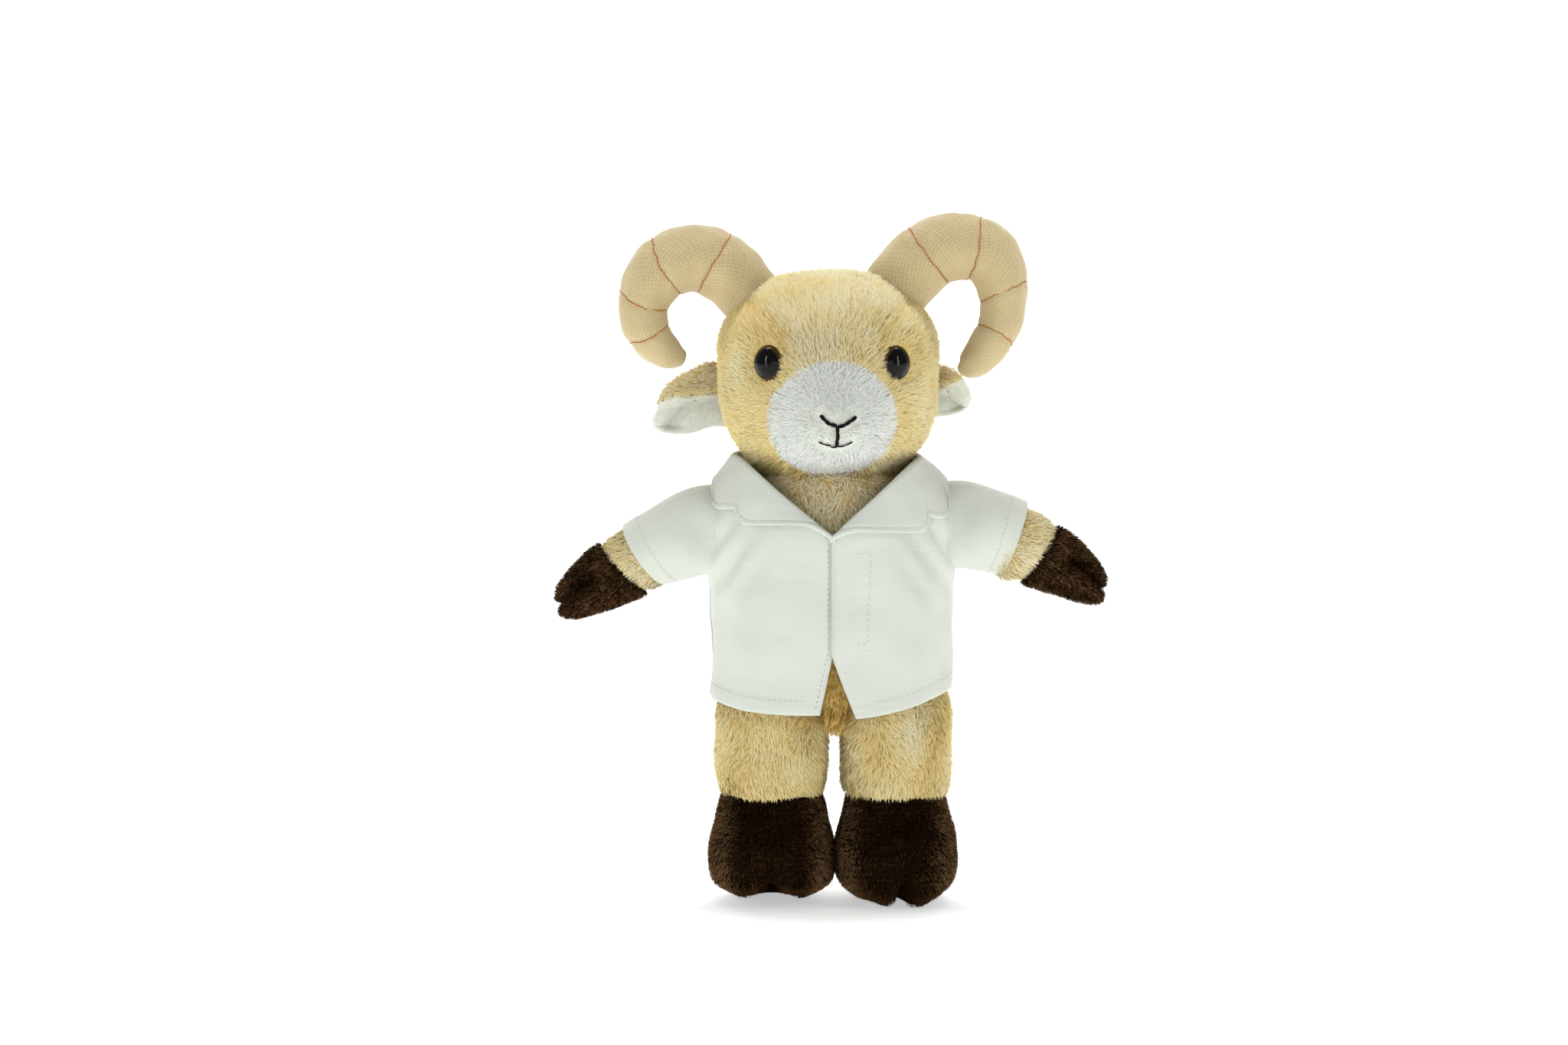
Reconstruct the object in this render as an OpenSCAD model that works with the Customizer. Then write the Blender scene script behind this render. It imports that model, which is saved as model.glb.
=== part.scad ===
// Plush bighorn ram, standing, in a short-sleeved shirt.
// +Z is up, the face looks along -Y, and the origin is on the floor under the middle of the toy.

/* [Head] */
// Radius of the head's skin about the neck axis
head_r = 37.5; // [34:0.5:39]
// Half the height of the head
head_half_h = 35.5; // [33:0.5:38]
// Height of the head's middle above the floor
head_z = 190; // [188:0.5:194]
// Angle that the face is turned to the toy's left
face_turn = 4; // [0:1:8]
// Half width of the muzzle
muzzle_w = 20; // [16:0.5:22]
// Diameter of an eye
eye_d = 12; // [9:0.5:13]

/* [Body] */
// Scale of the torso's width and depth
torso_girth = 1; // [0.9:0.01:1.02]
// Distance from the middle plane to a shoulder pivot
shoulder_x = 35; // [33:0.5:37]
// Height of the shoulder pivots
shoulder_z = 142; // [140:0.5:143]
// Distance from the middle plane to a hip pivot
hip_x = 22.3; // [22:0.1:24]
// Height of the hip pivots
hip_z = 68; // [66:0.5:70]

/* [Limbs] */
// Radius of an arm
arm_r = 9.4; // [8:0.1:9.8]
// How far the left arm hangs below level, in degrees
arm_left_drop = 28.6; // [20:0.2:35]
// How far the right arm hangs below level, in degrees
arm_right_drop = 22.6; // [20:0.2:35]
// Radius of a leg
leg_r = 18.5; // [16:0.1:18.6]
// Height of the line where leg fur meets hoof
ankle_z = 37; // [32:0.5:42]

/* [Cloth] */
// Thickness of a plush skin with its pile pressed down
skin_t = 2; // [1.5:0.1:2.5]
// Half width of the shirt
shirt_w = 43; // [42:0.2:46]
// Half depth of the shirt
shirt_d = 32.5; // [31.5:0.2:36]
// Thickness of the shirt's cotton with its hems
cotton_t = 0.9; // [0.6:0.1:1.2]

/* [Hidden] */
$fn = 48;

// The body's middle plane lies this far behind the origin, so that the bounding box is centred
mid_y = 1.85;
// Clearance between two soft bodies that move on each other
gap = 0.4;
// Clearance between pieces of one body that touch
fit = 0.1;

fur = "#d9c48e";
fur_gold = "#cdb577";
white_fur = "#dde0d6";
knit = "#d3bd92";
rust = "#b8703c";
black = "#15110f";
hoof = "#332317";
cotton = "#e4e7e1";
fibre = "#efefec";

// ---- Shape helpers -------------------------------------------------------

function unit(v) = v / norm(v);

// Point of a superellipse: half width w, half depth d, exponent n, at angle a
function oval(a, w, d, n) =
    let (c = cos(a), s = sin(a))
    [w * sign(c) * pow(abs(c), 2 / n), d * sign(s) * pow(abs(s), 2 / n)];

// Solid through rings of the same number of points, the first ring lowest, each counterclockwise from above
module loft(rings) {
    m = len(rings[0]);
    n = len(rings);
    sides = [for (k = [0:n - 2], i = [0:m - 1])
        let (j = (i + 1) % m, a = k * m + i, b = k * m + j, c = b + m, d = a + m)
        each [[a, d, c], [a, c, b]]];
    polyhedron(
        points = [for (r = rings) each r],
        faces = concat([[for (i = [0:m - 1]) i]], sides, [[for (i = [m - 1:-1:0]) (n - 1) * m + i]]));
}

// Direction of a path at its point k
function heading(path, k) = unit(path[min(k + 1, len(path) - 1)] - path[max(k - 1, 0)]);

// Rings of a tube along a path: radii holds [across, along side] for each point
function tube_rings(path, radii, side, m) = [for (k = [0:len(path) - 1])
    let (t = heading(path, k), v = unit(side - (side * t) * t), u = cross(v, t))
    [for (i = [0:m - 1])
        path[k] + radii[k][0] * cos(360 * i / m) * u + radii[k][1] * sin(360 * i / m) * v]];

module tube(path, radii, side = [0, 1, 0], m = 20) {
    loft(tube_rings(path, radii, side, m));
}

// Sheet between an outer and an inner grid of points, rows going up and columns counterclockwise from above
module sheet(outer, inner) {
    rows = len(outer);
    cols = len(outer[0]);
    o = rows * cols;
    faces = concat(
        [for (k = [0:rows - 2], i = [0:cols - 2])
            let (a = k * cols + i, b = a + 1, c = b + cols, d = a + cols)
            each [[a, d, c], [a, c, b], [a + o, c + o, d + o], [a + o, b + o, c + o]]],
        [for (i = [0:cols - 2])
            let (a = i, b = i + 1, d = (rows - 1) * cols + i, c = d + 1)
            each [[a, b, b + o], [a, b + o, a + o], [c, d, d + o], [c, d + o, c + o]]],
        [for (k = [0:rows - 2])
            let (a = k * cols, d = a + cols, b = a + cols - 1, c = b + cols)
            each [[d, a, a + o], [d, a + o, d + o], [b, c, c + o], [b, c + o, b + o]]]);
    polyhedron(points = concat([for (r = outer) each r], [for (r = inner) each r]), faces = faces);
}

// Linear look-up in rows of [key, value, value, ...]
function at(table, z, i = 0) =
    z <= table[i + 1][0] || i == len(table) - 2
        ? table[i] + (table[i + 1] - table[i]) * (z - table[i][0]) / (table[i + 1][0] - table[i][0])
        : at(table, z, i + 1);

module both_sides() {
    children();
    mirror([1, 0, 0]) children();
}

module in_body() {
    translate([0, mid_y, 0]) children();
}

// ---- Head -----------------------------------------------------------------

head_n = 2.8;
muzzle_h = 18;
muzzle_depth = 17;
muzzle_y = -27;
muzzle_z = 172.2;
head_sides = 28;
eye_spread = 36.7;
eye_z = 194;
eye_shank_r = 2.3;
washer_t = 1.5;
// Space for the curve of the skin between it and the flat washer
washer_gap = 1.3;

module face_turned() {
    in_body() rotate([0, 0, face_turn]) children();
}

// The head's outer form, shrunk by t: rings about the neck axis
module head_form(t) {
    in_body() loft([for (e = [-84:12:84])
        let (p = oval(e, head_r - t, head_half_h - t, head_n))
        [for (i = [0:head_sides - 1])
            [p[0] * cos(360 * i / head_sides), p[0] * sin(360 * i / head_sides), head_z + p[1]]]]);
}

// The muzzle's bulge, shrunk by t
module muzzle_form(t) {
    stations = concat([[0, 1]], [for (e = [0:12:84]) [-sin(e), cos(e)]]);
    face_turned() tube(
        [for (k = [0:len(stations) - 1])
            [0, k == 0 ? -16 : muzzle_y + (muzzle_depth - t) * stations[k][0], muzzle_z]],
        [for (s = stations) [(muzzle_w - t) * s[1], (muzzle_h - t) * s[1]]],
        side = [0, 0, 1]);
}

// Front of the muzzle at x and z
function muzzle_front(x, z) =
    muzzle_y - muzzle_depth * sqrt(1 - pow(x / muzzle_w, 2) - pow((z - muzzle_z) / muzzle_h, 2));

// Puts its children on the head's side surface, z outward, at the eye of the given side
module at_eye(side) {
    face_turned() rotate([0, 0, side * eye_spread - 90]) translate([head_r, 0, eye_z]) rotate([0, 90, 0])
        children();
}

module eye_shank(r) {
    translate([0, 0, -9]) cylinder(r = r, h = 9.2);
}

module eye_washer_ring(t) {
    translate([0, 0, -skin_t - washer_t - washer_gap - t]) cylinder(d = eye_d + 1 + 2 * t, h = washer_t + 2 * t);
}

module eye(side) {
    dome_h = 3.6;
    dome_r = (pow(eye_d / 2, 2) + dome_h * dome_h) / (2 * dome_h);
    rim_h = 1.2;
    color(black) at_eye(side) union() {
        intersection() {
            translate([0, 0, rim_h + dome_h - dome_r]) sphere(r = dome_r);
            translate([0, 0, 0.15]) cylinder(d = eye_d, h = 10);
        }
        eye_shank(eye_shank_r);
    }
}

module eye_washer(side) {
    color("#cfcfcf") at_eye(side) difference() {
        eye_washer_ring(0);
        eye_shank(eye_shank_r + fit);
    }
}

module head_cover() {
    color(fur) difference() {
        head_form(0);
        head_form(skin_t);
        muzzle_form(skin_t);
        for (side = [-1, 1]) at_eye(side) eye_shank(eye_shank_r + fit);
        for (side = [-1, 1]) ear_slot(side, gap);
    }
}

module head_stuffing() {
    color(fibre) difference() {
        union() {
            head_form(skin_t);
            muzzle_form(skin_t);
        }
        for (side = [-1, 1]) at_eye(side) {
            eye_shank(eye_shank_r + fit);
            eye_washer_ring(fit);
        }
        for (side = [-1, 1]) ear_slot(side, gap);
    }
}

module muzzle_panel() {
    color(white_fur) difference() {
        muzzle_form(0);
        muzzle_form(skin_t);
        head_form(0);
    }
}

// One line of thread on the muzzle through points given as [x, z]
module face_thread(points) {
    thread_r = 0.4;
    tube(
        [for (p = points) [p[0], muzzle_front(p[0], p[1]) - thread_r - 0.05, p[1]]],
        [for (p = points) [thread_r, thread_r]],
        side = [0, 1, 0], m = 6);
}

module nose_stitching() {
    nose_z = 171;
    lip_z = 163.6;
    color(black) face_turned() {
        for (s = [-1, 1]) {
            face_thread([[s * 0.3, nose_z], [s * 3.2, nose_z + 2.2], [s * 6.4, nose_z + 4.4]]);
            face_thread([[s * 0.5, lip_z], [s * 3, lip_z + 0.4], [s * 5.8, lip_z + 1.6]]);
        }
        face_thread([[0, nose_z - 0.6], [0, (nose_z + lip_z) / 2], [0, lip_z + 0.7]]);
    }
}

// ---- Horns ----------------------------------------------------------------

// Centre line and radius of each horn, from its root inside the head to its tip: x, y, z, radius
horn_left_line = [
    [-20, 3, 211, 10.5], [-28, 3, 220, 12], [-35, 2.5, 227.5, 12.4], [-43.5, 2, 231.3, 12.3],
    [-52.5, 1, 231, 12], [-60.5, 0, 226.5, 11.2], [-65.5, -1, 218.5, 9.7], [-66.5, -2, 210.5, 8.4],
    [-64.5, -3, 204, 7.4], [-61, -3.5, 199.5, 6], [-57.8, -4, 197, 3.8], [-56.3, -4, 195.9, 1]
];
horn_right_line = [
    [17, 3, 208, 10.5], [23, 3, 218, 12], [29.5, 2.5, 226.5, 12.6], [38, 2, 233.6, 12.4],
    [48, 1, 236, 11.8], [57, 0, 232.5, 11.3], [61.2, -1, 224.5, 9.7], [61.8, -2, 216, 8.3],
    [60.3, -3.5, 207.5, 7.5], [56.2, -5, 199.5, 6.6], [51.5, -6.5, 193.2, 4.6], [48.6, -7, 190, 1]
];
horn_sides = 14;
// Stations along the horn where a line of thread runs round it
thread_stations = [3, 4.9, 6.4, 7.9];

function horn_point(line, s) = let (k = min(floor(s), len(line) - 2)) line[k] + (line[k + 1] - line[k]) * (s - k);
function xyz(p) = [p[0], p[1], p[2]];

module horn_form(line, t) {
    in_body() tube(
        [for (p = line) xyz(p)],
        [for (p = line) let (r = max(p[3] - t, 0.3)) [r, r]],
        m = horn_sides);
}

module horn(line) {
    color(knit) difference() {
        horn_form(line, 0);
        horn_form([for (k = [0:len(line) - 2]) line[k]], 1.4);
        head_form(0);
    }
}

module horn_stuffing(line) {
    color(fibre) difference() {
        horn_form([for (k = [0:len(line) - 2]) line[k]], 1.4);
        head_form(0);
    }
}

module horn_stitching(line) {
    thread_r = 0.35;
    color(rust) in_body() for (s = thread_stations) {
        c = horn_point(line, s);
        t = unit(xyz(horn_point(line, s + 0.3)) - xyz(horn_point(line, s - 0.3)));
        v = unit([0, 1, 0] - t[1] * t);
        u = cross(v, t);
        r = c[3] + thread_r + 0.15;
        arc = [for (a = [-190:20:10]) xyz(c) + r * (cos(a) * u + sin(a) * v)];
        tube(arc, [for (p = arc) [thread_r, thread_r]], side = t, m = 5);
    }
}

// ---- Ears -----------------------------------------------------------------

ear_x = 38.3;
ear_z = 184;
ear_y = 7;
ear_root_r = 8.5;
ear_t = 5;
lining_top = -2.6;

// Outlines about the ear's root in the plane of the ear, as seen from the front: [x, z, radius] of round lobes
ear_left_lobes = [[-16, 0, 4.5], [-20, -9.5, 4.5], [-14.5, -7.8, 4.8]];
ear_right_lobes = [[5.8, 4.2, 5], [6.5, 0, 4.5], [4.5, -3.5, 4.5]];

module ear_outline(lobes) {
    hull() {
        circle(r = ear_root_r);
        for (p = lobes) translate([p[0], p[1]]) circle(r = p[2]);
    }
}

// A plate in the plane of the ear, from y0 to y1 behind the ear's front face
module ear_plate(side, y0, y1) {
    in_body() translate([side * ear_x, ear_y + y1, ear_z]) rotate([90, 0, 0]) linear_extrude(y1 - y0) children();
}

module ear_slot(side, clear) {
    ear_plate(side, -clear, ear_t + clear) circle(r = ear_root_r + clear);
}

module ear_outer(side, lobes) {
    color(fur_gold) union() {
        ear_plate(side, ear_t / 2, ear_t) ear_outline(lobes);
        ear_plate(side, 0, ear_t / 2) difference() {
            ear_outline(lobes);
            translate([-60, lining_top - 60]) square([120, 60]);
        }
    }
}

module ear_lining(side, lobes) {
    color(white_fur) ear_plate(side, 0, ear_t / 2 - 0.02) intersection() {
        ear_outline(lobes);
        translate([-60, lining_top - 0.02 - 60]) square([120, 60]);
    }
}

// ---- Torso and tail -------------------------------------------------------

// Height, half width and half depth of the torso
torso_sections = [
    [61, 19, 17], [65, 29, 24], [72, 35.5, 27.5], [84, 38, 29], [104, 38, 29.5], [121, 37, 28.5],
    [133, 34.5, 27], [142, 30, 24], [149, 25.5, 21], [153.4, 21.5, 19]
];
// The filled room inside it
torso_core = [
    [89.5, 35.5, 26.5], [104, 36, 27.5], [121, 35, 26.5], [133, 32.5, 25], [142, 28, 22], [149, 23.5, 19],
    [153.4, 19.5, 17]];
torso_sides = 32;
torso_n = 2.3;
// Facets of the rooms cut for the hips and shoulders
room_fn = 26;
arm_swing_down = 20;
arm_swing_up = 30;
leg_swing_back = 20;
tail_z = 69;
tail_y = 25.5;
tail_r = 4.3;
tail_drop = 25;

module torso_form(sections) {
    in_body() loft([for (s = sections)
        [for (i = [0:torso_sides - 1])
            let (p = oval(360 * i / torso_sides, s[1] * torso_girth, s[2] * torso_girth, torso_n))
            [p[0], p[1], s[0]]]]);
}

// Room for a hip ball and its leg, from straight forward to leg_swing_back behind upright
module hip_room() {
    r = leg_r + gap;
    reach = 45;
    in_body() both_sides() translate([hip_x, 0, hip_z]) for (swing = [[-90, 0], [0, leg_swing_back]]) hull() {
        sphere(r = r, $fn = room_fn);
        for (a = swing)
            rotate([a, 0, 0]) translate([0, 0, -reach]) cylinder(r = r, h = reach, $fn = room_fn);
    }
}

// Room for a shoulder ball and its arm over its swing
module shoulder_room(side, drop, extra) {
    r = arm_r + extra;
    in_body() translate([side * shoulder_x, 0, shoulder_z]) hull() {
        sphere(r = r, $fn = room_fn);
        for (a = [drop + arm_swing_down, drop - arm_swing_up])
            rotate([0, side * (90 + a), 0]) cylinder(r = r, h = 26, $fn = room_fn);
    }
}

module shoulder_rooms(extra) {
    shoulder_room(-1, arm_left_drop, extra);
    shoulder_room(1, arm_right_drop, extra);
}

module tail_form() {
    // Distance from the root, and radius as a share of the root's
    line = [[0, 0.95], [5, 0.85], [10, 0.8], [14, 0.6], [16.5, 0.3]];
    in_body() translate([0, tail_y, tail_z]) {
        sphere(r = tail_r);
        rotate([-tail_drop, 0, 0]) tube(
            [for (p = line) [0, p[0], 0]],
            [for (p = line) [tail_r * p[1], tail_r * p[1]]],
            side = [0, 0, 1], m = 16);
    }
}

module tail_room() {
    in_body() translate([0, tail_y, tail_z]) {
        sphere(r = tail_r + gap);
        for (a = [tail_drop - 15, tail_drop, tail_drop + 20])
            rotate([-a - 90, 0, 0]) cylinder(r = tail_r + gap, h = 12);
    }
}

module torso_cover() {
    color(fur) difference() {
        torso_form(torso_sections);
        torso_stuffing();
        hip_room();
        shoulder_rooms(gap);
        tail_room();
    }
}

// The neck of the skin is open at the top, where the head is sewn on
module torso_stuffing() {
    color(fibre) difference() {
        torso_form(torso_core);
        shoulder_rooms(skin_t);
    }
}

module tail() {
    color(fur) tail_form();
}

// ---- Shirt ----------------------------------------------------------------

// Height, and how much narrower and shallower the shirt is there
shirt_shoulder = [[66, 0, 0], [132, 0, 0], [144, 0.6, 1], [150, 2.8, 3],
    [155, 7.5, 5], [158.5, 12, 6.3]];
shirt_levels = [90, 112, 132, 144, 150, 155, 158.5];
shirt_n = 2.5;
hem_side_z = 76;
hem_front_z = 67.5;
neck_v_z = 131;
closure_x = 14;
closure_low = 94;
closure_high = 126;
armhole_r = 12.6;

// Point of the shirt's surface, t outside its inner face, at angle a and height z
function shirt_point(a, z, t) =
    let (s = at(shirt_shoulder, z), p = oval(a, shirt_w - s[1] + t, shirt_d - s[2] + t, shirt_n))
    [p[0], p[1], z];

// Height of the hem at angle a: low in front, level behind
function hem_z(a) = hem_side_z - (hem_side_z - hem_front_z) * pow(max(-sin(a), 0), 2);

function shirt_grid(a0, a1, steps, t) = [for (k = [-1:len(shirt_levels) - 1])
    [for (i = [0:steps])
        let (a = a0 + (a1 - a0) * i / steps)
        shirt_point(a, k < 0 ? hem_z(a) : shirt_levels[k], t)]];

module shirt_shell(a0, a1, steps, t0, t1) {
    in_body() sheet(shirt_grid(a0, a1, steps, t1), shirt_grid(a0, a1, steps, t0));
}

// Holes for the arms, long enough for their whole swing
module armholes() {
    in_body() both_sides() hull() for (z = [127.5, 141])
        translate([shoulder_x - 4, 0, z]) rotate([0, 90, 0]) cylinder(r = armhole_r, h = 20, $fn = 32);
}

// Everything in front of the neckline's V, as [x, z] seen from the front
module neck_v() {
    in_body() rotate([90, 0, 0]) linear_extrude(60)
        polygon([[1, neck_v_z], [31, 160], [31, 175], [-33, 175], [-33, 160]]);
}

// What lies right of the front opening as seen from the front: the edge runs down and then turns aside
module right_of_opening(edge_x, foot_x) {
    in_body() rotate([90, 0, 0]) linear_extrude(60)
        polygon([[edge_x, 180], [edge_x, 91], [foot_x, 60], [90, 60], [90, 180]]);
}

module shirt_back() {
    color(cotton) difference() {
        shirt_shell(0, 180, 16, 0, cotton_t);
        armholes();
    }
}

module shirt_front_left() {
    color(cotton) difference() {
        shirt_shell(180.1, 276, 12, -cotton_t, -0.05);
        armholes();
        neck_v();
        right_of_opening(0.6, -5.2);
    }
}

module shirt_front_right() {
    color(cotton) difference() {
        intersection() {
            shirt_shell(264, 359.9, 12, 0, cotton_t);
            right_of_opening(-0.4, 11.3);
        }
        armholes();
        neck_v();
    }
}

// A strip of hook-and-loop tape behind the right front
module closure_strip(x0, t0, t1) {
    intersection() {
        shirt_shell(260, 300, 6, t0, t1);
        in_body() translate([x0, -50, closure_low]) cube([closure_x - x0, 50, closure_high - closure_low]);
    }
}

module closure_hook_strip() {
    color("#f2f2f0") closure_strip(-3, -2 * cotton_t - 0.05, -cotton_t - 0.05);
}

module closure_loop_strip() {
    color("#f2f2f0") closure_strip(3, -cotton_t, -0.05);
}

// The collar's fold line and outer edge, from the V round the left of the neck to the middle of the back
collar_fold = [
    [1, -34, 130.6], [-10, -33, 140.2], [-21.5, -28.5, 150], [-31, -19, 158.5], [-34.5, -5, 161.5],
    [-30, 12, 161.8], [-17, 25.5, 161.4], [0, 30, 161]
];
collar_edge = [
    [1, -35, 130], [-11, -35.5, 136.4], [-31.8, -29.5, 136.6], [-42, -20, 142.6], [-43.6, -4, 153.2],
    [-39, 16, 153], [-22, 29, 153], [0, 34, 153]
];
collar_t = 1.5;

// The whole collar from left to right: the list, then its mirror image without the middle point
function whole(half) = concat(half, [for (k = [len(half) - 2:-1:0]) [-half[k][0], half[k][1], half[k][2]]]);

module shirt_collar() {
    fold = whole(collar_fold);
    edge = whole(collar_edge);
    lift = [for (k = [0:len(fold) - 1]) collar_t * unit([fold[k][0], fold[k][1], 25])];
    color(cotton) in_body() sheet(
        [for (k = [0:len(fold) - 1]) [edge[k] + lift[k], fold[k] + lift[k]]],
        [for (k = [0:len(fold) - 1]) [edge[k], fold[k]]]);
}

// Sleeve about the arm: distance along the arm from the shoulder, offset of its middle upward, radius
sleeve_left_line = [[6, -2.4, 14.9], [20, -1.4, 14.1], [36, 0.6, 12.6]];
sleeve_right_line = [[6, -1.5, 14.5], [16, -0.4, 14.6], [32.5, 1.8, 13.6]];

module along_arm(side, drop) {
    in_body() translate([side * shoulder_x, 0, shoulder_z]) rotate([0, side * drop, 0]) children();
}

module sleeve(side, drop, line) {
    path = [for (p = line) [side * p[0], 0, p[1]]];
    color(cotton) difference() {
        along_arm(side, drop) difference() {
            tube(path, [for (p = line) [p[2], p[2]]], m = 24);
            tube([path[0] - [side * 2, 0, 0], path[1], path[2] + [side * 2, 0, 0]],
                [for (p = line) [p[2] - cotton_t, p[2] - cotton_t]], m = 24);
        }
        in_body() loft([for (z = [110, 132, 144, 150, 155, 158.5])
            [for (i = [0:39]) shirt_point(9 * i, z, cotton_t + 0.3)]]);
    }
}

// ---- Arms -----------------------------------------------------------------

wrist_left = 45.3;
wrist_right = 43.1;
// Hand hoof: share of its length, and its radius as a share of the wrist's
hand_len = 29;
hand_left_bend = -2.5;
hand_right_bend = -6.5;
hand_sections = [[0.02, 1.12], [0.22, 1.25], [0.45, 1.22], [0.65, 1.06], [0.82, 0.83], [0.93, 0.52], [1, 0.15]];

// Hand hoof shrunk by t; the bend lowers its tip
module hand_form(side, wrist, bend, t) {
    tube(
        [for (s = hand_sections) [side * (wrist + (hand_len - t) * s[0]), 0, bend * s[0] * s[0]]],
        [for (s = hand_sections) let (r = max(arm_r * s[1] - t, 0.4)) [r, r * 0.92]]);
}

// The notch between the two toes
module hand_cleft(side, wrist, bend) {
    tip = wrist + hand_len;
    rotate([90, 0, 0]) translate([0, 0, -15]) linear_extrude(30)
        polygon([[side * (tip + 2), bend - 4.6], [side * (tip - 6), bend + 0.6], [side * (tip + 2), bend - 1.6]]);
}

module arm_core(side, wrist, t) {
    sphere(r = arm_r - t);
    rotate([0, side * 90, 0]) cylinder(r = arm_r - t, h = wrist + 1);
}

module arm_cover(side, drop, wrist) {
    color(fur) along_arm(side, drop) difference() {
        union() {
            sphere(r = arm_r);
            rotate([0, side * 90, 0]) cylinder(r = arm_r, h = wrist);
        }
        arm_core(side, wrist, skin_t);
    }
}

module hand_hoof(side, drop, wrist, bend) {
    color(hoof) along_arm(side, drop) difference() {
        hand_form(side, wrist, bend, 0);
        hand_form(side, wrist, bend, skin_t);
        hand_cleft(side, wrist, bend);
        arm_core(side, wrist, skin_t);
    }
}

module arm_stuffing(side, drop, wrist, bend) {
    color(fibre) along_arm(side, drop) difference() {
        union() {
            arm_core(side, wrist, skin_t + fit);
            hand_form(side, wrist, bend, skin_t + fit);
        }
        hand_cleft(side, wrist, bend);
    }
}

// ---- Legs -----------------------------------------------------------------

// Foot hoof: height, half width, half depth, how far its middle lies forward
foot_sections = [[0, 15.5, 20, 3.5], [1.6, 18.2, 23, 3.8], [6, 20.2, 25.5, 4], [14, 20.6, 25.5, 3.6],
    [24, 20.2, 23, 2.2], [31, 19.2, 20.3, 0.8], [ankle_z, 18.2, 18.4, 0]];
foot_sides = 32;
cleft_depth = 0.16;
cleft_top = 20;

function cleft(a, z) = 1 - cleft_depth * exp(-pow((a + 90) / 10, 2)) * max(0, min(1, (cleft_top - z) / 10));

module foot_form(t, low) {
    loft([for (s = foot_sections)
        [for (i = [0:foot_sides - 1])
            let (
                a = -90 + 360 * i / foot_sides,
                fold = cleft(a > 90 ? a - 360 : a, s[0]),
                p = oval(a, s[1] - t, s[2] - t, 2.2),
                z = s[0] == 0 ? low : s[0] == ankle_z && t > 0 ? ankle_z + 0.4 : max(s[0], low + 0.3))
            [p[0] * fold, p[1] * fold - s[3], z]]]);
}

module at_leg(side) {
    in_body() translate([side * hip_x, 0, 0]) children();
}

module leg_form(t) {
    translate([0, 0, hip_z]) sphere(r = leg_r - t);
    translate([0, 0, ankle_z]) cylinder(r1 = leg_r - 0.4 - t, r2 = leg_r - t, h = hip_z - ankle_z);
}

module leg_core(t) {
    leg_form(t);
    translate([0, 0, ankle_z - 1]) cylinder(r = leg_r - 0.6 - t, h = 3);
}

module leg_cover(side) {
    color(fur) at_leg(side) difference() {
        leg_form(0);
        leg_core(skin_t);
    }
}

module foot_hoof(side) {
    color(hoof) at_leg(side) difference() {
        foot_form(0, 0);
        foot_form(skin_t, skin_t);
        leg_core(skin_t);
    }
}

module leg_stuffing(side) {
    color(fibre) at_leg(side) union() {
        leg_core(skin_t + fit);
        intersection() {
            foot_form(skin_t + fit, skin_t + fit);
            translate([0, 0, ankle_z / 2 - 0.5]) cube([100, 100, ankle_z - 1], center = true);
        }
    }
}

// ---- Nodes ----------------------------------------------------------------

head_cover();
head_stuffing();
muzzle_panel();
nose_stitching();
eye(-1);  // eye_left
eye(1);  // eye_right
eye_washer(-1);  // eye_washer_left
eye_washer(1);  // eye_washer_right
horn(horn_left_line);  // horn_left
horn(horn_right_line);  // horn_right
horn_stuffing(horn_left_line);  // horn_stuffing_left
horn_stuffing(horn_right_line);  // horn_stuffing_right
horn_stitching(horn_left_line);  // horn_stitching_left
horn_stitching(horn_right_line);  // horn_stitching_right
ear_outer(-1, ear_left_lobes);  // ear_outer_left
ear_outer(1, ear_right_lobes);  // ear_outer_right
ear_lining(-1, ear_left_lobes);  // ear_lining_left
ear_lining(1, ear_right_lobes);  // ear_lining_right
torso_cover();
torso_stuffing();
tail();
shirt_back();
shirt_front_left();
shirt_front_right();
shirt_collar();
closure_hook_strip();
closure_loop_strip();
sleeve(-1, arm_left_drop, sleeve_left_line);  // sleeve_left
sleeve(1, arm_right_drop, sleeve_right_line);  // sleeve_right
arm_cover(-1, arm_left_drop, wrist_left);  // arm_cover_left
arm_cover(1, arm_right_drop, wrist_right);  // arm_cover_right
arm_stuffing(-1, arm_left_drop, wrist_left, hand_left_bend);  // arm_stuffing_left
arm_stuffing(1, arm_right_drop, wrist_right, hand_right_bend);  // arm_stuffing_right
hand_hoof(-1, arm_left_drop, wrist_left, hand_left_bend);  // hand_hoof_left
hand_hoof(1, arm_right_drop, wrist_right, hand_right_bend);  // hand_hoof_right
leg_cover(-1);  // leg_cover_left
leg_cover(1);  // leg_cover_right
leg_stuffing(-1);  // leg_stuffing_left
leg_stuffing(1);  // leg_stuffing_right
foot_hoof(-1);  // foot_hoof_left
foot_hoof(1);  // foot_hoof_right
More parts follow.
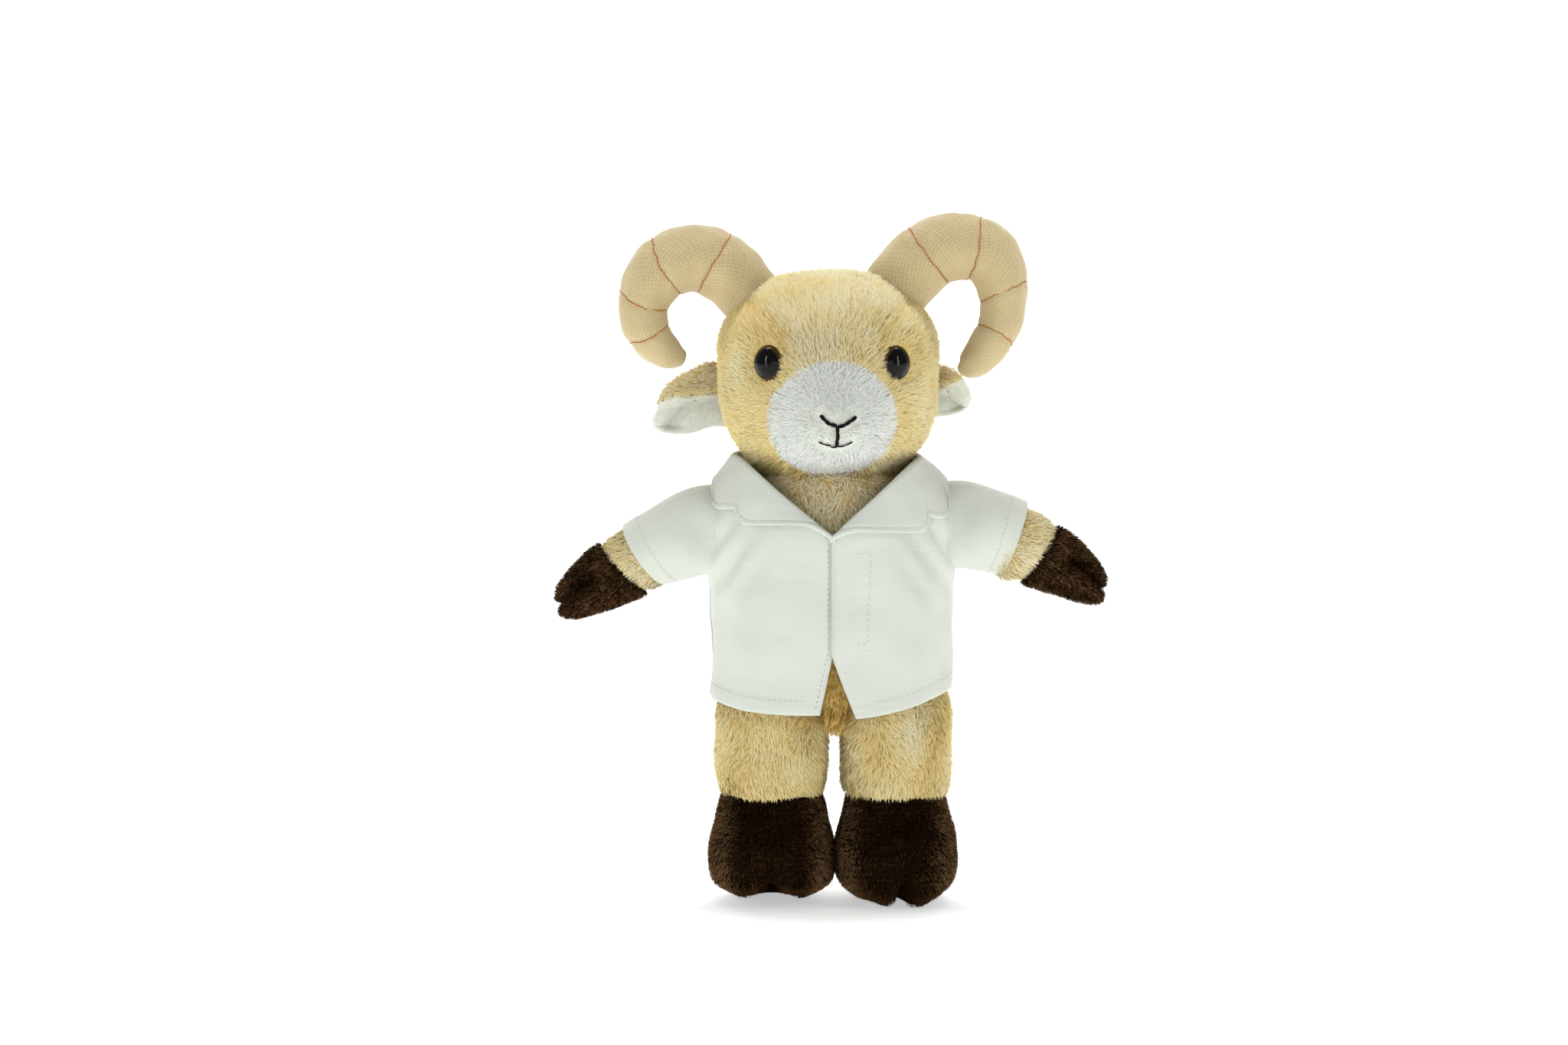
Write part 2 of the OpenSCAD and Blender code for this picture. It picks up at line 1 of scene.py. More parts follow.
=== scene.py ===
"""Plush bighorn ram in a white short-sleeved shirt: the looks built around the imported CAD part.

Lengths are millimetres in the CAD frame. A side is -1 for left pieces, at negative x, and 1 for right ones.
"""
import math
import bpy
import numpy as np
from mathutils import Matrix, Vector


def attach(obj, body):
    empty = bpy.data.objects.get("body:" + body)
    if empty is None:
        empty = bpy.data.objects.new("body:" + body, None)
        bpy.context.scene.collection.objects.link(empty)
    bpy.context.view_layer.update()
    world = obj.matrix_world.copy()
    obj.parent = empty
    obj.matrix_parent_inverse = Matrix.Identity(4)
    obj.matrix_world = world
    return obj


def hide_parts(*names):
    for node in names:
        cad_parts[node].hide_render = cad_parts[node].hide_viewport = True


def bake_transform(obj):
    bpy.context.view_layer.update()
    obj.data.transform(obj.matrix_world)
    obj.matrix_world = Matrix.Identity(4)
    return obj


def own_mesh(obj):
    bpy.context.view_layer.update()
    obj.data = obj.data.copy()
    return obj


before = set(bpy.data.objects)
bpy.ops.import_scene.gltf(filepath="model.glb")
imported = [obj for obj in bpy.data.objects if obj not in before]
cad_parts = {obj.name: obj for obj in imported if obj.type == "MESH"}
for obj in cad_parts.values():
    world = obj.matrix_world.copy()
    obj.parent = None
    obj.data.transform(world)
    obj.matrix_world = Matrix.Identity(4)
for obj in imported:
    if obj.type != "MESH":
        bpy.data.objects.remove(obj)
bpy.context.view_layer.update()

MM = 0.001
# The body's middle in y
MID = 1.85
TAU = 2 * math.pi
RIGHT_ANGLE = 0.5 * math.pi
NAME = {-1: "left", 1: "right"}


# ---- Maths ------------------------------------------------------------------------------------

def vec(*parts):
    """Points from their components, each stretched to the shape of the others."""
    return np.stack(np.broadcast_arrays(*parts), -1)


def xyz(p):
    return p[..., 0], p[..., 1], p[..., 2]


def unit(v):
    return v / np.maximum(np.linalg.norm(v, axis=-1, keepdims=True), 1e-9)


def ease(x):
    x = np.clip(x, 0, 1)
    return x * x * (3 - 2 * x)


def bell(x, width):
    return np.exp(-(x / width) ** 2)


def signed_power(x, e):
    return np.sign(x) * np.abs(x) ** e


def circle(count):
    return np.arange(count) * TAU / count


def turned(p, angle, axis=2):
    """p turned by angle (radians) about the z axis, or about y for axis 1 as OpenSCAD's rotate does."""
    c, s = math.cos(angle), math.sin(angle)
    x, y, z = xyz(p)
    return vec(c * x - s * y, s * x + c * y, z) if axis == 2 else vec(c * x + s * z, y, -s * x + c * z)


def ripple(p, size, seed):
    """Smooth noise of about -1 to 1 over points p, with features of the given size."""
    rng = np.random.default_rng(seed)
    total = np.zeros(p.shape[:-1])
    for _ in range(7):
        k = unit(rng.normal(size=3)) * TAU / size * rng.uniform(0.6, 1.5)
        total = total + np.sin(p @ k + rng.uniform(0, TAU))
    return total / 3.2


def spline(points, count):
    """count points along a smooth curve through the given points."""
    p = np.asarray(points, float)
    p = np.vstack([2 * p[0] - p[1], p, 2 * p[-1] - p[-2]])
    s = np.linspace(0, len(p) - 3 - 1e-6, count)
    k, f = s.astype(int), (s % 1)[:, None]
    a, b, c, d = p[k], p[k + 1], p[k + 2], p[k + 3]
    return 0.5 * (2 * b + (c - a) * f + (2 * a - 5 * b + 4 * c - d) * f ** 2 + (3 * b - a - 3 * c + d) * f ** 3)


def table(keys, rows, columns=1):
    """Smooth look-up of rows [key, value, ...] at the keys; one array for each value column."""
    rows = np.asarray(rows, float)
    fine = spline(rows, 12 * len(rows))
    return [np.interp(keys, fine[:, 0], fine[:, 1 + c]) for c in range(columns)]


def run_of(points):
    """Distance along a polyline at each of its points."""
    return np.concatenate([[0], np.cumsum(np.linalg.norm(np.diff(points, axis=0), axis=1))])


def between(s, run, rows):
    """Rows [run, 3] at the distances s."""
    return np.stack([np.interp(s, run, rows[:, c]) for c in range(3)], -1)


def height_of(line, x):
    """z at x on a line of x, z points that may be in any order."""
    return np.interp(x, *zip(*sorted(line)))


def line_distance(x, z, line):
    """Distance in the x, z plane from points to a polyline."""
    best = np.full(np.shape(x), 1e9)
    for (x0, z0), (x1, z1) in zip(line[:-1], line[1:]):
        dx, dz = x1 - x0, z1 - z0
        t = np.clip(((x - x0) * dx + (z - z0) * dz) / (dx * dx + dz * dz), 0, 1)
        best = np.minimum(best, np.hypot(x - x0 - t * dx, z - z0 - t * dz))
    return best


# ---- Surfaces ---------------------------------------------------------------------------------

def grid_quads(rows, cols, closed=True):
    k, i = np.meshgrid(np.arange(rows - 1), np.arange(cols if closed else cols - 1), indexing="ij")
    j = (i + 1) % cols
    return np.stack([k * cols + i, k * cols + j, (k + 1) * cols + j, (k + 1) * cols + i], -1).reshape(-1, 4)


def lofted(rings):
    """Closed body through rings [rows, cols, 3]: points, quads of its sides and triangles of its two ends."""
    rows, cols, _ = rings.shape
    points = np.vstack([rings.reshape(-1, 3), rings[0].mean(0), rings[-1].mean(0)])
    i = np.arange(cols)
    j = (i + 1) % cols
    top = (rows - 1) * cols
    return points, grid_quads(rows, cols), np.vstack([vec(j, i, rows * cols), vec(top + i, top + j, rows * cols + 1)])


def flipped(quads, ends, flip):
    return (quads[:, ::-1], ends[:, ::-1]) if flip else (quads, ends)


def faces_of(quads, triangles=()):
    return [list(map(int, q)) for q in quads] + [list(map(int, t)) for t in triangles]


def vertex_normals(points, quads):
    n = np.zeros_like(points)
    face = np.cross(points[quads[:, 2]] - points[quads[:, 0]], points[quads[:, 3]] - points[quads[:, 1]])
    for c in range(4):
        np.add.at(n, quads[:, c], face)
    return unit(n)


def facing_out(points, quads, middle):
    """The quads, turned over if they face the middle."""
    return quads if (vertex_normals(points, quads) * (points - middle)).sum() >= 0 else quads[:, ::-1]


def thickened(points, quads, thickness):
    """Closed sheet of the given thickness about a surface: points, faces, and the index of each point's source."""
    used = np.unique(quads)
    place = np.full(len(points), -1)
    place[used] = np.arange(len(used))
    q = place[quads]
    half = 0.5 * np.broadcast_to(thickness, len(points))[used][:, None]
    p, n = points[used], vertex_normals(points, quads)[used]
    m = len(used)
    ways = np.vstack([q[:, [a, (a + 1) % 4]] for a in range(4)])
    _, first, count = np.unique(np.sort(ways, axis=1), axis=0, return_index=True, return_counts=True)
    rim = ways[first[count == 1]]
    rims = np.stack([rim[:, 1], rim[:, 0], rim[:, 0] + m, rim[:, 1] + m], -1)
    faces = np.vstack([q, q[:, ::-1] + m, rims])
    return np.vstack([p + n * half, p - n * half]), faces, np.concatenate([used, used])


def add_object(name, data):
    o = bpy.data.objects.new(name, data)
    bpy.context.scene.collection.objects.link(o)
    return o


def piece(name, points, faces, mat, body=None, replaces=(), cloth=None):
    """New visible mesh in the CAD frame. cloth holds each point's place on the cut cloth."""
    mesh = bpy.data.meshes.new(name)
    mesh.from_pydata((np.asarray(points) * MM).tolist(), [], faces if isinstance(faces, list) else faces_of(faces))
    mesh.validate()
    mesh.materials.append(mat)
    mesh.polygons.foreach_set("use_smooth", [True] * len(mesh.polygons))
    if cloth is not None:
        flat = np.zeros((len(mesh.vertices), 3), np.float32)
        flat[:, :2] = cloth
        mesh.attributes.new("cloth", "FLOAT_VECTOR", "POINT").data.foreach_set("vector", flat.ravel())
    o = add_object(name, mesh)
    if replaces:
        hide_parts(*replaces)
    if body:
        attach(o, body)
    return o


def stuffed(name, points, faces, mat, body, replaces, cloth=None):
    piece(name, points, faces, mat, body, replaces, cloth)


def thin(name, points, quads, thickness, mat, replaces, cloth, body="torso"):
    """Cloth or tape about a surface; cloth gives each surface point's place on it."""
    pts, faces, source = thickened(points, quads, thickness)
    return piece(name, pts, faces, mat, body, replaces, cloth.reshape(-1, 2)[source])


# ---- Materials --------------------------------------------------------------------------------

def linear(rgb):
    return tuple((c / 255 / 12.92 if c <= 10 else ((c / 255 + 0.055) / 1.055) ** 2.4) for c in rgb) + (1,)


class Material:
    """A principled material, with short hand for its nodes. Colours are sRGB from 0 to 255."""

    def __init__(self, name, rgb, roughness, sheen=0, specular=0.3, sheen_rgb=(255, 255, 255)):
        self.made = bpy.data.materials.new(name)
        self.made.use_nodes = True
        self.tree = self.made.node_tree
        self.inputs = self.tree.nodes["Principled BSDF"].inputs
        for key, value in (("Base Color", linear(rgb)), ("Roughness", roughness), ("Specular IOR Level", specular),
                           ("Sheen Weight", sheen), ("Sheen Roughness", 0.5), ("Sheen Tint", linear(sheen_rgb))):
            self.inputs[key].default_value = value

    def add(self, kind, values=(), out=0, **settings):
        """The named output of a new node; values go to its inputs, or are linked to them."""
        n = self.tree.nodes.new(kind)
        for k, v in settings.items():
            setattr(n, k, v)
        for k, v in dict(values).items():
            if isinstance(v, bpy.types.NodeSocket):
                self.tree.links.new(v, n.inputs[k])
            else:
                n.inputs[k].default_value = v
        return n.outputs[out]

    def cloth(self):
        return self.add("ShaderNodeAttribute", out="Vector", attribute_name="cloth")

    def noise(self, where, scale, detail=2.0):
        return self.add("ShaderNodeTexNoise", {"Vector": where, "Scale": scale, "Detail": detail}, "Fac")

    def fine_noise(self, scale, detail=2.0):
        """Noise over the object's own space, with features of 1000 / scale millimetres."""
        return self.noise(self.add("ShaderNodeTexCoord", out="Object"), scale, detail)

    def stretched(self, where, scale, turn=0.0):
        return self.add("ShaderNodeMapping", {"Vector": where, "Scale": scale, "Rotation": (0, 0, turn)}, "Vector")

    def waves(self, where, scale, distortion, direction):
        return self.add("ShaderNodeTexWave", {"Vector": where, "Scale": scale, "Distortion": distortion,
                                              "Detail": 1.0}, "Fac", bands_direction=direction)

    def mixed(self, *shares):
        """Sum of sockets, each times its share."""
        total = None
        for value, share in shares:
            part = value if share == 1 else self.add("ShaderNodeMath", {0: value, 1: share}, operation="MULTIPLY")
            total = part if total is None else self.add("ShaderNodeMath", {0: total, 1: part}, operation="ADD")
        return total

    def blend(self, factor, a, b):
        a, b = (v if isinstance(v, bpy.types.NodeSocket) else linear(v) for v in (a, b))
        return self.add("ShaderNodeMix", {0: factor, 6: a, 7: b}, 2, data_type="RGBA")

    def ramp(self, value, low, high):
        return self.add("ShaderNodeMapRange", {"Value": value, "From Min": low, "From Max": high}, "Result")

    def colour(self, value, low, high, at_low, at_high):
        self.tree.links.new(self.blend(self.ramp(value, low, high), at_low, at_high), self.inputs["Base Color"])

    def relief(self, height, depth, strength=1.0):
        bump = self.add("ShaderNodeBump", {"Height": height, "Distance": depth * MM, "Strength": strength}, "Normal")
        self.tree.links.new(bump, self.inputs["Normal"])


def fuzz(name, rgb, shade, roughness, sheen, specular, blotch, grain, depth):
    """Fibres in two colours; blotch and grain are the scale and detail of their noise."""
    m = Material(name, rgb, roughness, sheen, specular)
    m.colour(m.fine_noise(*blotch), 0.35, 0.65, shade, rgb)
    m.relief(m.fine_noise(*grain), depth)
    return m.made


def plush_skin(name, dark, light):
    """Knitted backing and root fuzz seen between the strands of a pile."""
    return fuzz(name, light, dark, 0.95, 0, 0.0, (260, 3), (1400, 2), 0.5)


def thread(name, rgb, shade):
    return fuzz(name, rgb, shade, 0.7, 0.05, 0.1, (2600, 2), (2600, 2), 0.1)


def pile_tones(name, tones, sheen, sheen_rgb):
    """One material for each tone of a pile's strands, from dark to light."""
    return [Material(f"{name}_{k}", rgb, 0.9, sheen, 0.0, sheen_rgb).made for k, rgb in enumerate(tones)]


def cotton(name, rgb, shade):
    """Plain woven cotton with faint slubs along its weft."""
    m = Material(name, rgb, 0.85, 0.15, 0.2)
    cloth = m.cloth()
    slub = m.noise(m.stretched(cloth, (0.05, 1.4, 1)), 1.0, 3)
    m.colour(m.mixed((slub, 0.6), (m.noise(cloth, 0.05), 0.4)), 0.35, 0.65, shade, rgb)
    weave = m.mixed((m.waves(cloth, 0.55, 0.6, "X"), 1), (m.waves(cloth, 0.55, 0.6, "Y"), 1), (slub, 1))
    m.relief(weave, 0.03, 0.6)
    return m.made


def twill_knit(name, rgb, shade):
    """Brushed knit with fine slanting ribs."""
    m = Material(name, rgb, 0.9, 0.35, 0.15)
    cloth = m.cloth()
    slanted = m.stretched(cloth, (1, 1, 1), math.radians(-62))
    knit = m.mixed((m.waves(slanted, 0.27, 1.2, "X"), 0.2), (m.waves(slanted, 0.22, 3.0, "Y"), 0.12))
    nap = m.noise(m.stretched(slanted, (1.3, 0.6, 1)), 1.0, 3)
    m.colour(m.mixed((knit, 1), (nap, 0.43), (m.noise(cloth, 0.12), 0.25)), 0.28, 0.68, shade, rgb)
    m.relief(m.mixed((knit, 1), (nap, 0.3)), 0.22, 0.7)
    return m.made


def tape(name, rgb, shade, scale):
    """Hook or loop tape, as dots."""
    m = Material(name, rgb, 0.7)
    dots = m.add("ShaderNodeTexVoronoi", {"Vector": m.cloth(), "Scale": scale}, "Distance")
    m.colour(dots, 0.1, 0.6, rgb, shade)
    m.relief(dots, 0.4)
    return m.made


def eye_plastic():
    """Black pupil with a brown iris showing round its edge, under clear gloss."""
    m = Material("eye_plastic", (8, 7, 7), 0.03, specular=0.2)
    spot = m.cloth()
    radius = m.add("ShaderNodeVectorMath", {0: spot}, "Value", operation="LENGTH")
    m.colour(radius, 5.0, 5.6, (7, 6, 6), m.blend(m.noise(spot, 1.5, 3), (48, 30, 15), (96, 64, 34)))
    return m.made


fur_mats = pile_tones("tan_pile", [(156, 118, 58), (190, 152, 82), (217, 183, 104), (233, 202, 124), (242, 217, 144),
                                   (246, 227, 163), (248, 235, 186), (249, 241, 208)], 0.08, (255, 240, 200))
white_mats = pile_tones("white_pile", [(226, 229, 218), (236, 239, 230), (243, 246, 239), (248, 251, 246),
                                       (252, 254, 250)], 0.2, (255, 255, 255))
hoof_mats = pile_tones("brown_pile", [(23, 14, 7), (34, 22, 12), (52, 36, 21), (76, 55, 34), (104, 79, 52),
                                      (130, 102, 72)], 0.3, (150, 104, 62))
fur_skin = plush_skin("tan_plush_backing", (214, 180, 104), (238, 212, 144))
white_skin = plush_skin("white_plush_backing", (222, 225, 212), (240, 243, 234))
hoof_skin = plush_skin("brown_plush_backing", (14, 8, 4), (34, 22, 13))
shirt_cotton = cotton("shirt_cotton", (220, 224, 215), (214, 218, 208))
horn_knit = twill_knit("horn_knit", (213, 196, 153), (194, 173, 128))
ear_velvet = fuzz("ear_velvet", (238, 240, 228), (226, 228, 214), 0.9, 0.5, 0.15, (420, 3), (1800, 3), 0.35)
rust_thread = thread("rust_thread", (206, 128, 52), (172, 96, 34))
black_thread = thread("black_thread", (20, 20, 22), (8, 8, 9))
white_thread = thread("white_thread", (202, 204, 194), (182, 184, 174))
grey_thread = thread("grey_thread", (158, 159, 148), (134, 135, 124))
hook_tape = tape("hook_tape", (238, 239, 236), (200, 202, 198), 1.4)
loop_tape = tape("loop_tape", (236, 237, 233), (206, 208, 203), 2.2)
eye_mat = eye_plastic()


# ---- Pile and stitches ------------------------------------------------------------------------

# The strands' materials in each slot, from dark to light
STRANDS = {"fur": fur_mats, "ear_fur": fur_mats, "muzzle_fur": white_mats, "ear_lining": white_mats,
           "hoof_plush": hoof_mats}


def scattered(surface, density, rng):
    """Random points on a surface with their normals."""
    points, quads = surface
    normals = vertex_normals(points, quads)
    tri = np.vstack([quads[:, [0, 1, 2]], quads[:, [0, 2, 3]]])
    a, b, c = (points[tri[:, k]] for k in range(3))
    area = 0.5 * np.linalg.norm(np.cross(b - a, c - a), axis=1)
    pick = rng.choice(len(tri), int(area.sum() * density), p=area / area.sum())
    r = rng.random((len(pick), 2))
    r = np.where(r.sum(1, keepdims=True) > 1, 1 - r, r)
    w = vec(1 - r.sum(1), r[:, 0], r[:, 1])[:, :, None]
    return (points[tri[pick]] * w).sum(1), unit((normals[tri[pick]] * w).sum(1))


def pile(name, surface, body, slot, density, length, lean, nap, keep=None, tone=None, width=0.26, clump=1.4, pull=0.2,
         spread=0.055, seed=1):
    """Fur standing on a surface: tapered strands that lean along the nap and gather into small tufts.

    density is strands for each square millimetre, and lean is in degrees from upright. length may be a function of
    the roots, as nap, keep and tone are. tone runs from 0, the darkest of the slot's strands, to 1.
    """
    rng = np.random.default_rng(seed)
    mats = STRANDS[slot]
    root, n = scattered(surface, density, rng)
    if keep is not None:
        chosen = keep(root)
        root, n = root[chosen], n[chosen]
    count = len(root)
    long = (length(root) if callable(length) else np.full(count, float(length))) * rng.uniform(0.75, 1.15, count)
    flow = nap(root, n)
    flow = unit(flow - n * (flow * n).sum(1, keepdims=True))
    # Tufts: strands of one small cell share a lean and draw together at their tips
    cells = np.floor((root + 0.8 * clump * vec(*[ripple(root, 3.1 * clump, seed + k) for k in range(3)])) / clump)
    _, which = np.unique(cells, axis=0, return_inverse=True)
    which = which.ravel()
    size = np.bincount(which)
    centre = vec(*[np.bincount(which, root[:, k]) / size for k in range(3)])[which]
    tuft = rng.normal(size=(len(size), 3))[which]
    side = np.cross(n, flow)
    angle = np.radians(lean + 4 * tuft[:, 0] + rng.normal(0, 7, count))[:, None]
    swing = (0.13 * tuft[:, 1] + rng.normal(0, 0.17, count))[:, None]
    heading = unit(flow + side * swing)
    tip = root + long[:, None] * (np.cos(angle) * n + np.sin(angle) * heading) + pull * (centre - root)
    bend = root + 0.52 * (tip - root) + n * (0.12 * long)[:, None]
    root = root - 0.25 * n
    along = unit(tip - root)
    across = unit(np.cross(n, along))
    roll = rng.uniform(-0.6, 0.6, count)[:, None]
    across = np.cos(roll) * across + np.sin(roll) * np.cross(along, across)
    half = (0.5 * width * rng.uniform(0.75, 1.25, count))[:, None] * across
    # Each strand is a quad from root to bend and a triangle from bend to tip
    verts = np.stack([root + half, root - half, bend - 0.85 * half, bend + 0.85 * half, tip], 1)
    loops = 5 * np.arange(count)[:, None] + [0, 1, 2, 3, 3, 2, 4]
    starts = 7 * np.arange(count)[:, None] + [0, 4]
    level = (tone(root) if tone else 0.55) + 0.04 * tuft[:, 2] + rng.normal(0, spread, count) \
        + 0.04 * ripple(root, 16, seed + 9)
    top = np.clip((level * len(mats)).astype(int), 0, len(mats) - 1)
    mesh = bpy.data.meshes.new(name)
    mesh.vertices.add(5 * count)
    mesh.vertices.foreach_set("co", (verts.reshape(-1) * MM).astype(np.float32))
    mesh.loops.add(7 * count)
    mesh.loops.foreach_set("vertex_index", loops.reshape(-1).astype(np.int32))
    mesh.polygons.add(2 * count)
    mesh.polygons.foreach_set("loop_start", starts.reshape(-1).astype(np.int32))
    for m in mats:
        mesh.materials.append(m)
    mesh.polygons.foreach_set("material_index", vec(np.maximum(top - 1, 0), top).reshape(-1).astype(np.int32))
    mesh.polygons.foreach_set("use_smooth", np.ones(2 * count, bool))
    mesh.update(calc_edges=True)
    lit = unit(n + 0.07 * tuft + 0.12 * heading + rng.normal(0, 0.08, (count, 3)))
    mesh.normals_split_custom_set_from_vertices(np.repeat(lit, 5, axis=0).tolist())
    o = add_object(name, mesh)
    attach(o, body)


def as_is(p):
    return p


def stitches(lines, radius, gap, lift, place, normal, wander=0.0, seed=4):
    """Points and faces of short rounded stitches along lines; place turns line points into surface points.

    gap is the pitch of the stitches and the space between two of them, which is negative where they overlap.
    """
    rng = np.random.default_rng(seed)
    all_points, all_faces, shift = [], [], 0
    a = circle(6)[None, :, None]
    for line in lines:
        p = place(np.asarray(line, float))
        n = normal(p)
        total = run_of(p)
        count = max(1, int(round(total[-1] / gap[0])))
        pitch = total[-1] / count
        for k in range(count):
            s = np.linspace(k * pitch + gap[1] / 2, (k + 1) * pitch - gap[1] / 2, 6)
            core, up = between(s, total, p), unit(between(s, total, n))
            side = unit(np.cross(up, unit(core[-1:] - core[:1])))
            core = core + side * rng.normal(0, wander) + up * lift
            core = core + up * (radius * 0.5 * np.sin(np.linspace(0, math.pi, 6)))[:, None]
            r = radius * np.array([0.35, 0.85, 1, 1, 0.85, 0.35])[:, None, None]
            v, q, e = lofted(core[:, None] + r * (np.cos(a) * side[:, None] + 0.8 * np.sin(a) * up[:, None]))
            all_points.append(v)
            all_faces += faces_of(q + shift, e + shift)
            shift += len(v)
    return np.vstack(all_points), all_faces




# ---- Head and muzzle --------------------------------------------------------------------------

HEAD = np.array([-1.0, MID, 190.0])
HEAD_R, HEAD_H = 37.5, 35.5
FACE_TURN = math.radians(2)
EYE_SPREAD = math.radians(36.7)
EYE_Z = 5.0
MUZZLE = np.array([0, -27, -17.8])
MUZZLE_R = np.array([20.0, 17.0, 18.0])
# Edge of the white muzzle fur: height above the head's middle, half width
MUZZLE_EDGE = np.array([(-34, 0), (-33, 6.5), (-30.5, 12), (-27.5, 16), (-22.5, 19.4), (-17, 21), (-12, 21.1),
                        (-7, 19.5), (-2.5, 15.9), (1, 12.3), (3.2, 8.8), (4.5, 5), (5, 0)])
# Seams between the forehead and the two side panels, as x, z from the head's middle
BROW_SEAM = [(27, 25), (22, 20.5), (17.5, 15), (15.5, 9)]
# The head's fur starts above the neck
NECK_Z = 155.2


def to_world(p):
    """From the face's own frame, about the head's middle, to the CAD frame."""
    return turned(p, FACE_TURN) + HEAD


def to_face(p):
    return turned(p - HEAD, -FACE_TURN)


def head_radius(d):
    """Rounded box with the muzzle's ellipsoid blended onto it."""
    x, y, z = xyz(d)
    n = 2.8 - 0.35 * ease(z / 0.5)
    round_r = HEAD_R + 1.0 * bell(z - 0.35, 0.3) - 0.7 * bell(z + 0.55, 0.25)
    shell = ((np.hypot(x, y) / round_r) ** n + (np.abs(z) / HEAD_H) ** n) ** (-1 / n)
    a = (d ** 2 / MUZZLE_R ** 2).sum(-1)
    b = (d * MUZZLE / MUZZLE_R ** 2).sum(-1)
    c = (MUZZLE ** 2 / MUZZLE_R ** 2).sum() - 1
    disc = b * b - a * c
    bulge = (b + np.sqrt(np.maximum(disc, 0))) / a - 8 * (1 - ease(disc / 0.05))
    bulge = np.where(b > 0, bulge, 0)
    k = 0.55
    return np.log(np.exp(k * shell) + np.exp(k * bulge)) / k


def eye_side(p):
    """Angle round the head from the nearer eye; negative toward the nose."""
    return np.arctan2(np.abs(p[..., 0]), -p[..., 1]) - EYE_SPREAD


def eye_gap(p):
    """Distance from the middle of the nearer eye, along the surface, in the face's frame."""
    return np.hypot(eye_side(p) * HEAD_R, p[..., 2] - EYE_Z)


def head_point(d):
    """Sculpted surface of the head along unit directions d, in the face's frame."""
    p = d * head_radius(d)[..., None]
    x, y, z = xyz(p)
    brow = np.hypot(eye_side(p) * HEAD_R - 1, z - EYE_Z - 12)
    seam = line_distance(np.abs(x), z, BROW_SEAM)
    shift = -1.6 * bell(eye_gap(p), 8) + 1.3 * bell(brow, 8) - 1.5 * bell(seam, 2.2) * ease(-y / 15)
    shift = shift + 0.5 * ripple(p, 22, 3)
    return p + d * shift[..., None]


def sphere_grid(rows, cols):
    e = np.linspace(-RIGHT_ANGLE + 0.02, RIGHT_ANGLE - 0.02, rows)[:, None]
    a = circle(cols)[None, :]
    return vec(np.cos(e) * np.cos(a), np.cos(e) * np.sin(a), np.sin(e))


def on_face(x, z, start):
    """Points of the head's surface with the given x and z in the face's frame; start is a first guess at y."""
    toward = vec(x, start, z)
    for _ in range(12):
        p = head_point(unit(toward))
        toward = toward + vec(x - p[..., 0], 0, z - p[..., 2])
    return head_point(unit(toward))


def in_muzzle(p, grow):
    """Where points in the face's frame lie inside the white muzzle fur's edge, which is a little ragged."""
    half = np.interp(p[..., 2], *MUZZLE_EDGE.T)
    return (np.abs(p[..., 0]) < half + grow + 0.8 * ripple(p, 5, 11)) & (p[..., 1] < -10) & (half > 0)


head_rings = head_point(sphere_grid(90, 120))
head_rings = np.where(in_muzzle(head_rings, -0.8)[..., None], head_rings * 0.985, head_rings)
points, quads, ends = lofted(to_world(head_rings))
head_surface = (points, quads)
stuffed("head_plush", points, faces_of(quads, ends), fur_skin, "head", ("head_cover", "head_stuffing"))

# The muzzle's own panel, as a thin pad over the head: its outline, shrunk towards a middle point in rings
right_edge = MUZZLE_EDGE[:, ::-1]
outline = spline(np.vstack([right_edge, (right_edge * [-1, 1])[::-1][1:]]), 96)
middle = np.array([0, -16.5])
flat = middle + np.linspace(0.03, 1, 26)[:, None, None] * (outline - middle)
muzzle_rings = on_face(flat[..., 0], flat[..., 1], -36.0)
muzzle_surface = (to_world(muzzle_rings.reshape(-1, 3)), grid_quads(26, 96)[:, ::-1])
points, faces, _ = thickened(*muzzle_surface, 0.8)
stuffed("muzzle_plush", points, faces, white_skin, "head", ("muzzle_panel",))

# Stitched nose and mouth, as x, z from the head's middle
NOSE = [[(-4.2, -13.2), (-1.6, -15.9), (1.1, -17.0)], [(7.4, -13.7), (4.4, -16.2), (1.5, -17.0)],
        [(1.3, -16.8), (1.4, -20.2), (1.3, -23.4)],
        [(-4.9, -22.0), (-2.2, -23.1), (1.3, -23.4)], [(6.5, -21.9), (4.0, -23.0), (1.3, -23.4)]]


def nose_gap(q):
    return np.minimum.reduce([line_distance(q[..., 0], q[..., 2], line) for line in NOSE])


def away_from_nose(p, n):
    """Nap that runs outward from the nose over the face and down the back of the head."""
    q = to_face(p)
    out = unit(q - np.array([0, -44, -17.0]))
    out[..., 2] -= 1.3 * ease((q[..., 1] + 5) / 25)
    return turned(out + 0.25 * vec(ripple(q, 14, 21), 0, ripple(q, 14, 22)), FACE_TURN)


def head_tone(p):
    """Lightest on the forehead; painted shade darkens it round the sunken eyes and along the grooves of the brow
    seams, and painted light makes the right side and the chin a little lighter.
    """
    q = to_face(p)
    x, y, z = xyz(q)
    inner = np.interp(z, [-30, 0, 9, 15, 25, 36], [2, 14, 15.5, 18, 27, 34])
    forehead = ease((inner - np.abs(x) + 3) / 6) * ease((z + 4) / 6)
    seam = bell(line_distance(np.abs(x), z, BROW_SEAM), 2.5) * ease(-y / 15)
    side = 0.07 * ease(x / 20) - 0.04
    # Painted shade round the eyes and in the seams, painted light on the right side and under the chin
    return 0.76 + 0.11 * forehead + side - 0.14 * seam - 0.12 * bell(eye_gap(q), 9) + 0.02 * ease((-z - 22) / 12) \
        + 0.07 * ripple(q, 26, 5)


def head_length(p):
    """Short by the eyes and over the nose, long at the chin."""
    q = to_face(p)
    gap = eye_gap(q) + 5 * ease(-eye_side(q) / 0.12)
    chin = ease((-q[..., 2] - 26) / 5) * ease((-q[..., 1] + 12) / 12)
    return 3.5 * (0.4 + 0.6 * ease((gap - 6) / 5)) * (1 - 0.2 * ease((-q[..., 1] - 34) / 8)) * (1 + 0.7 * chin)


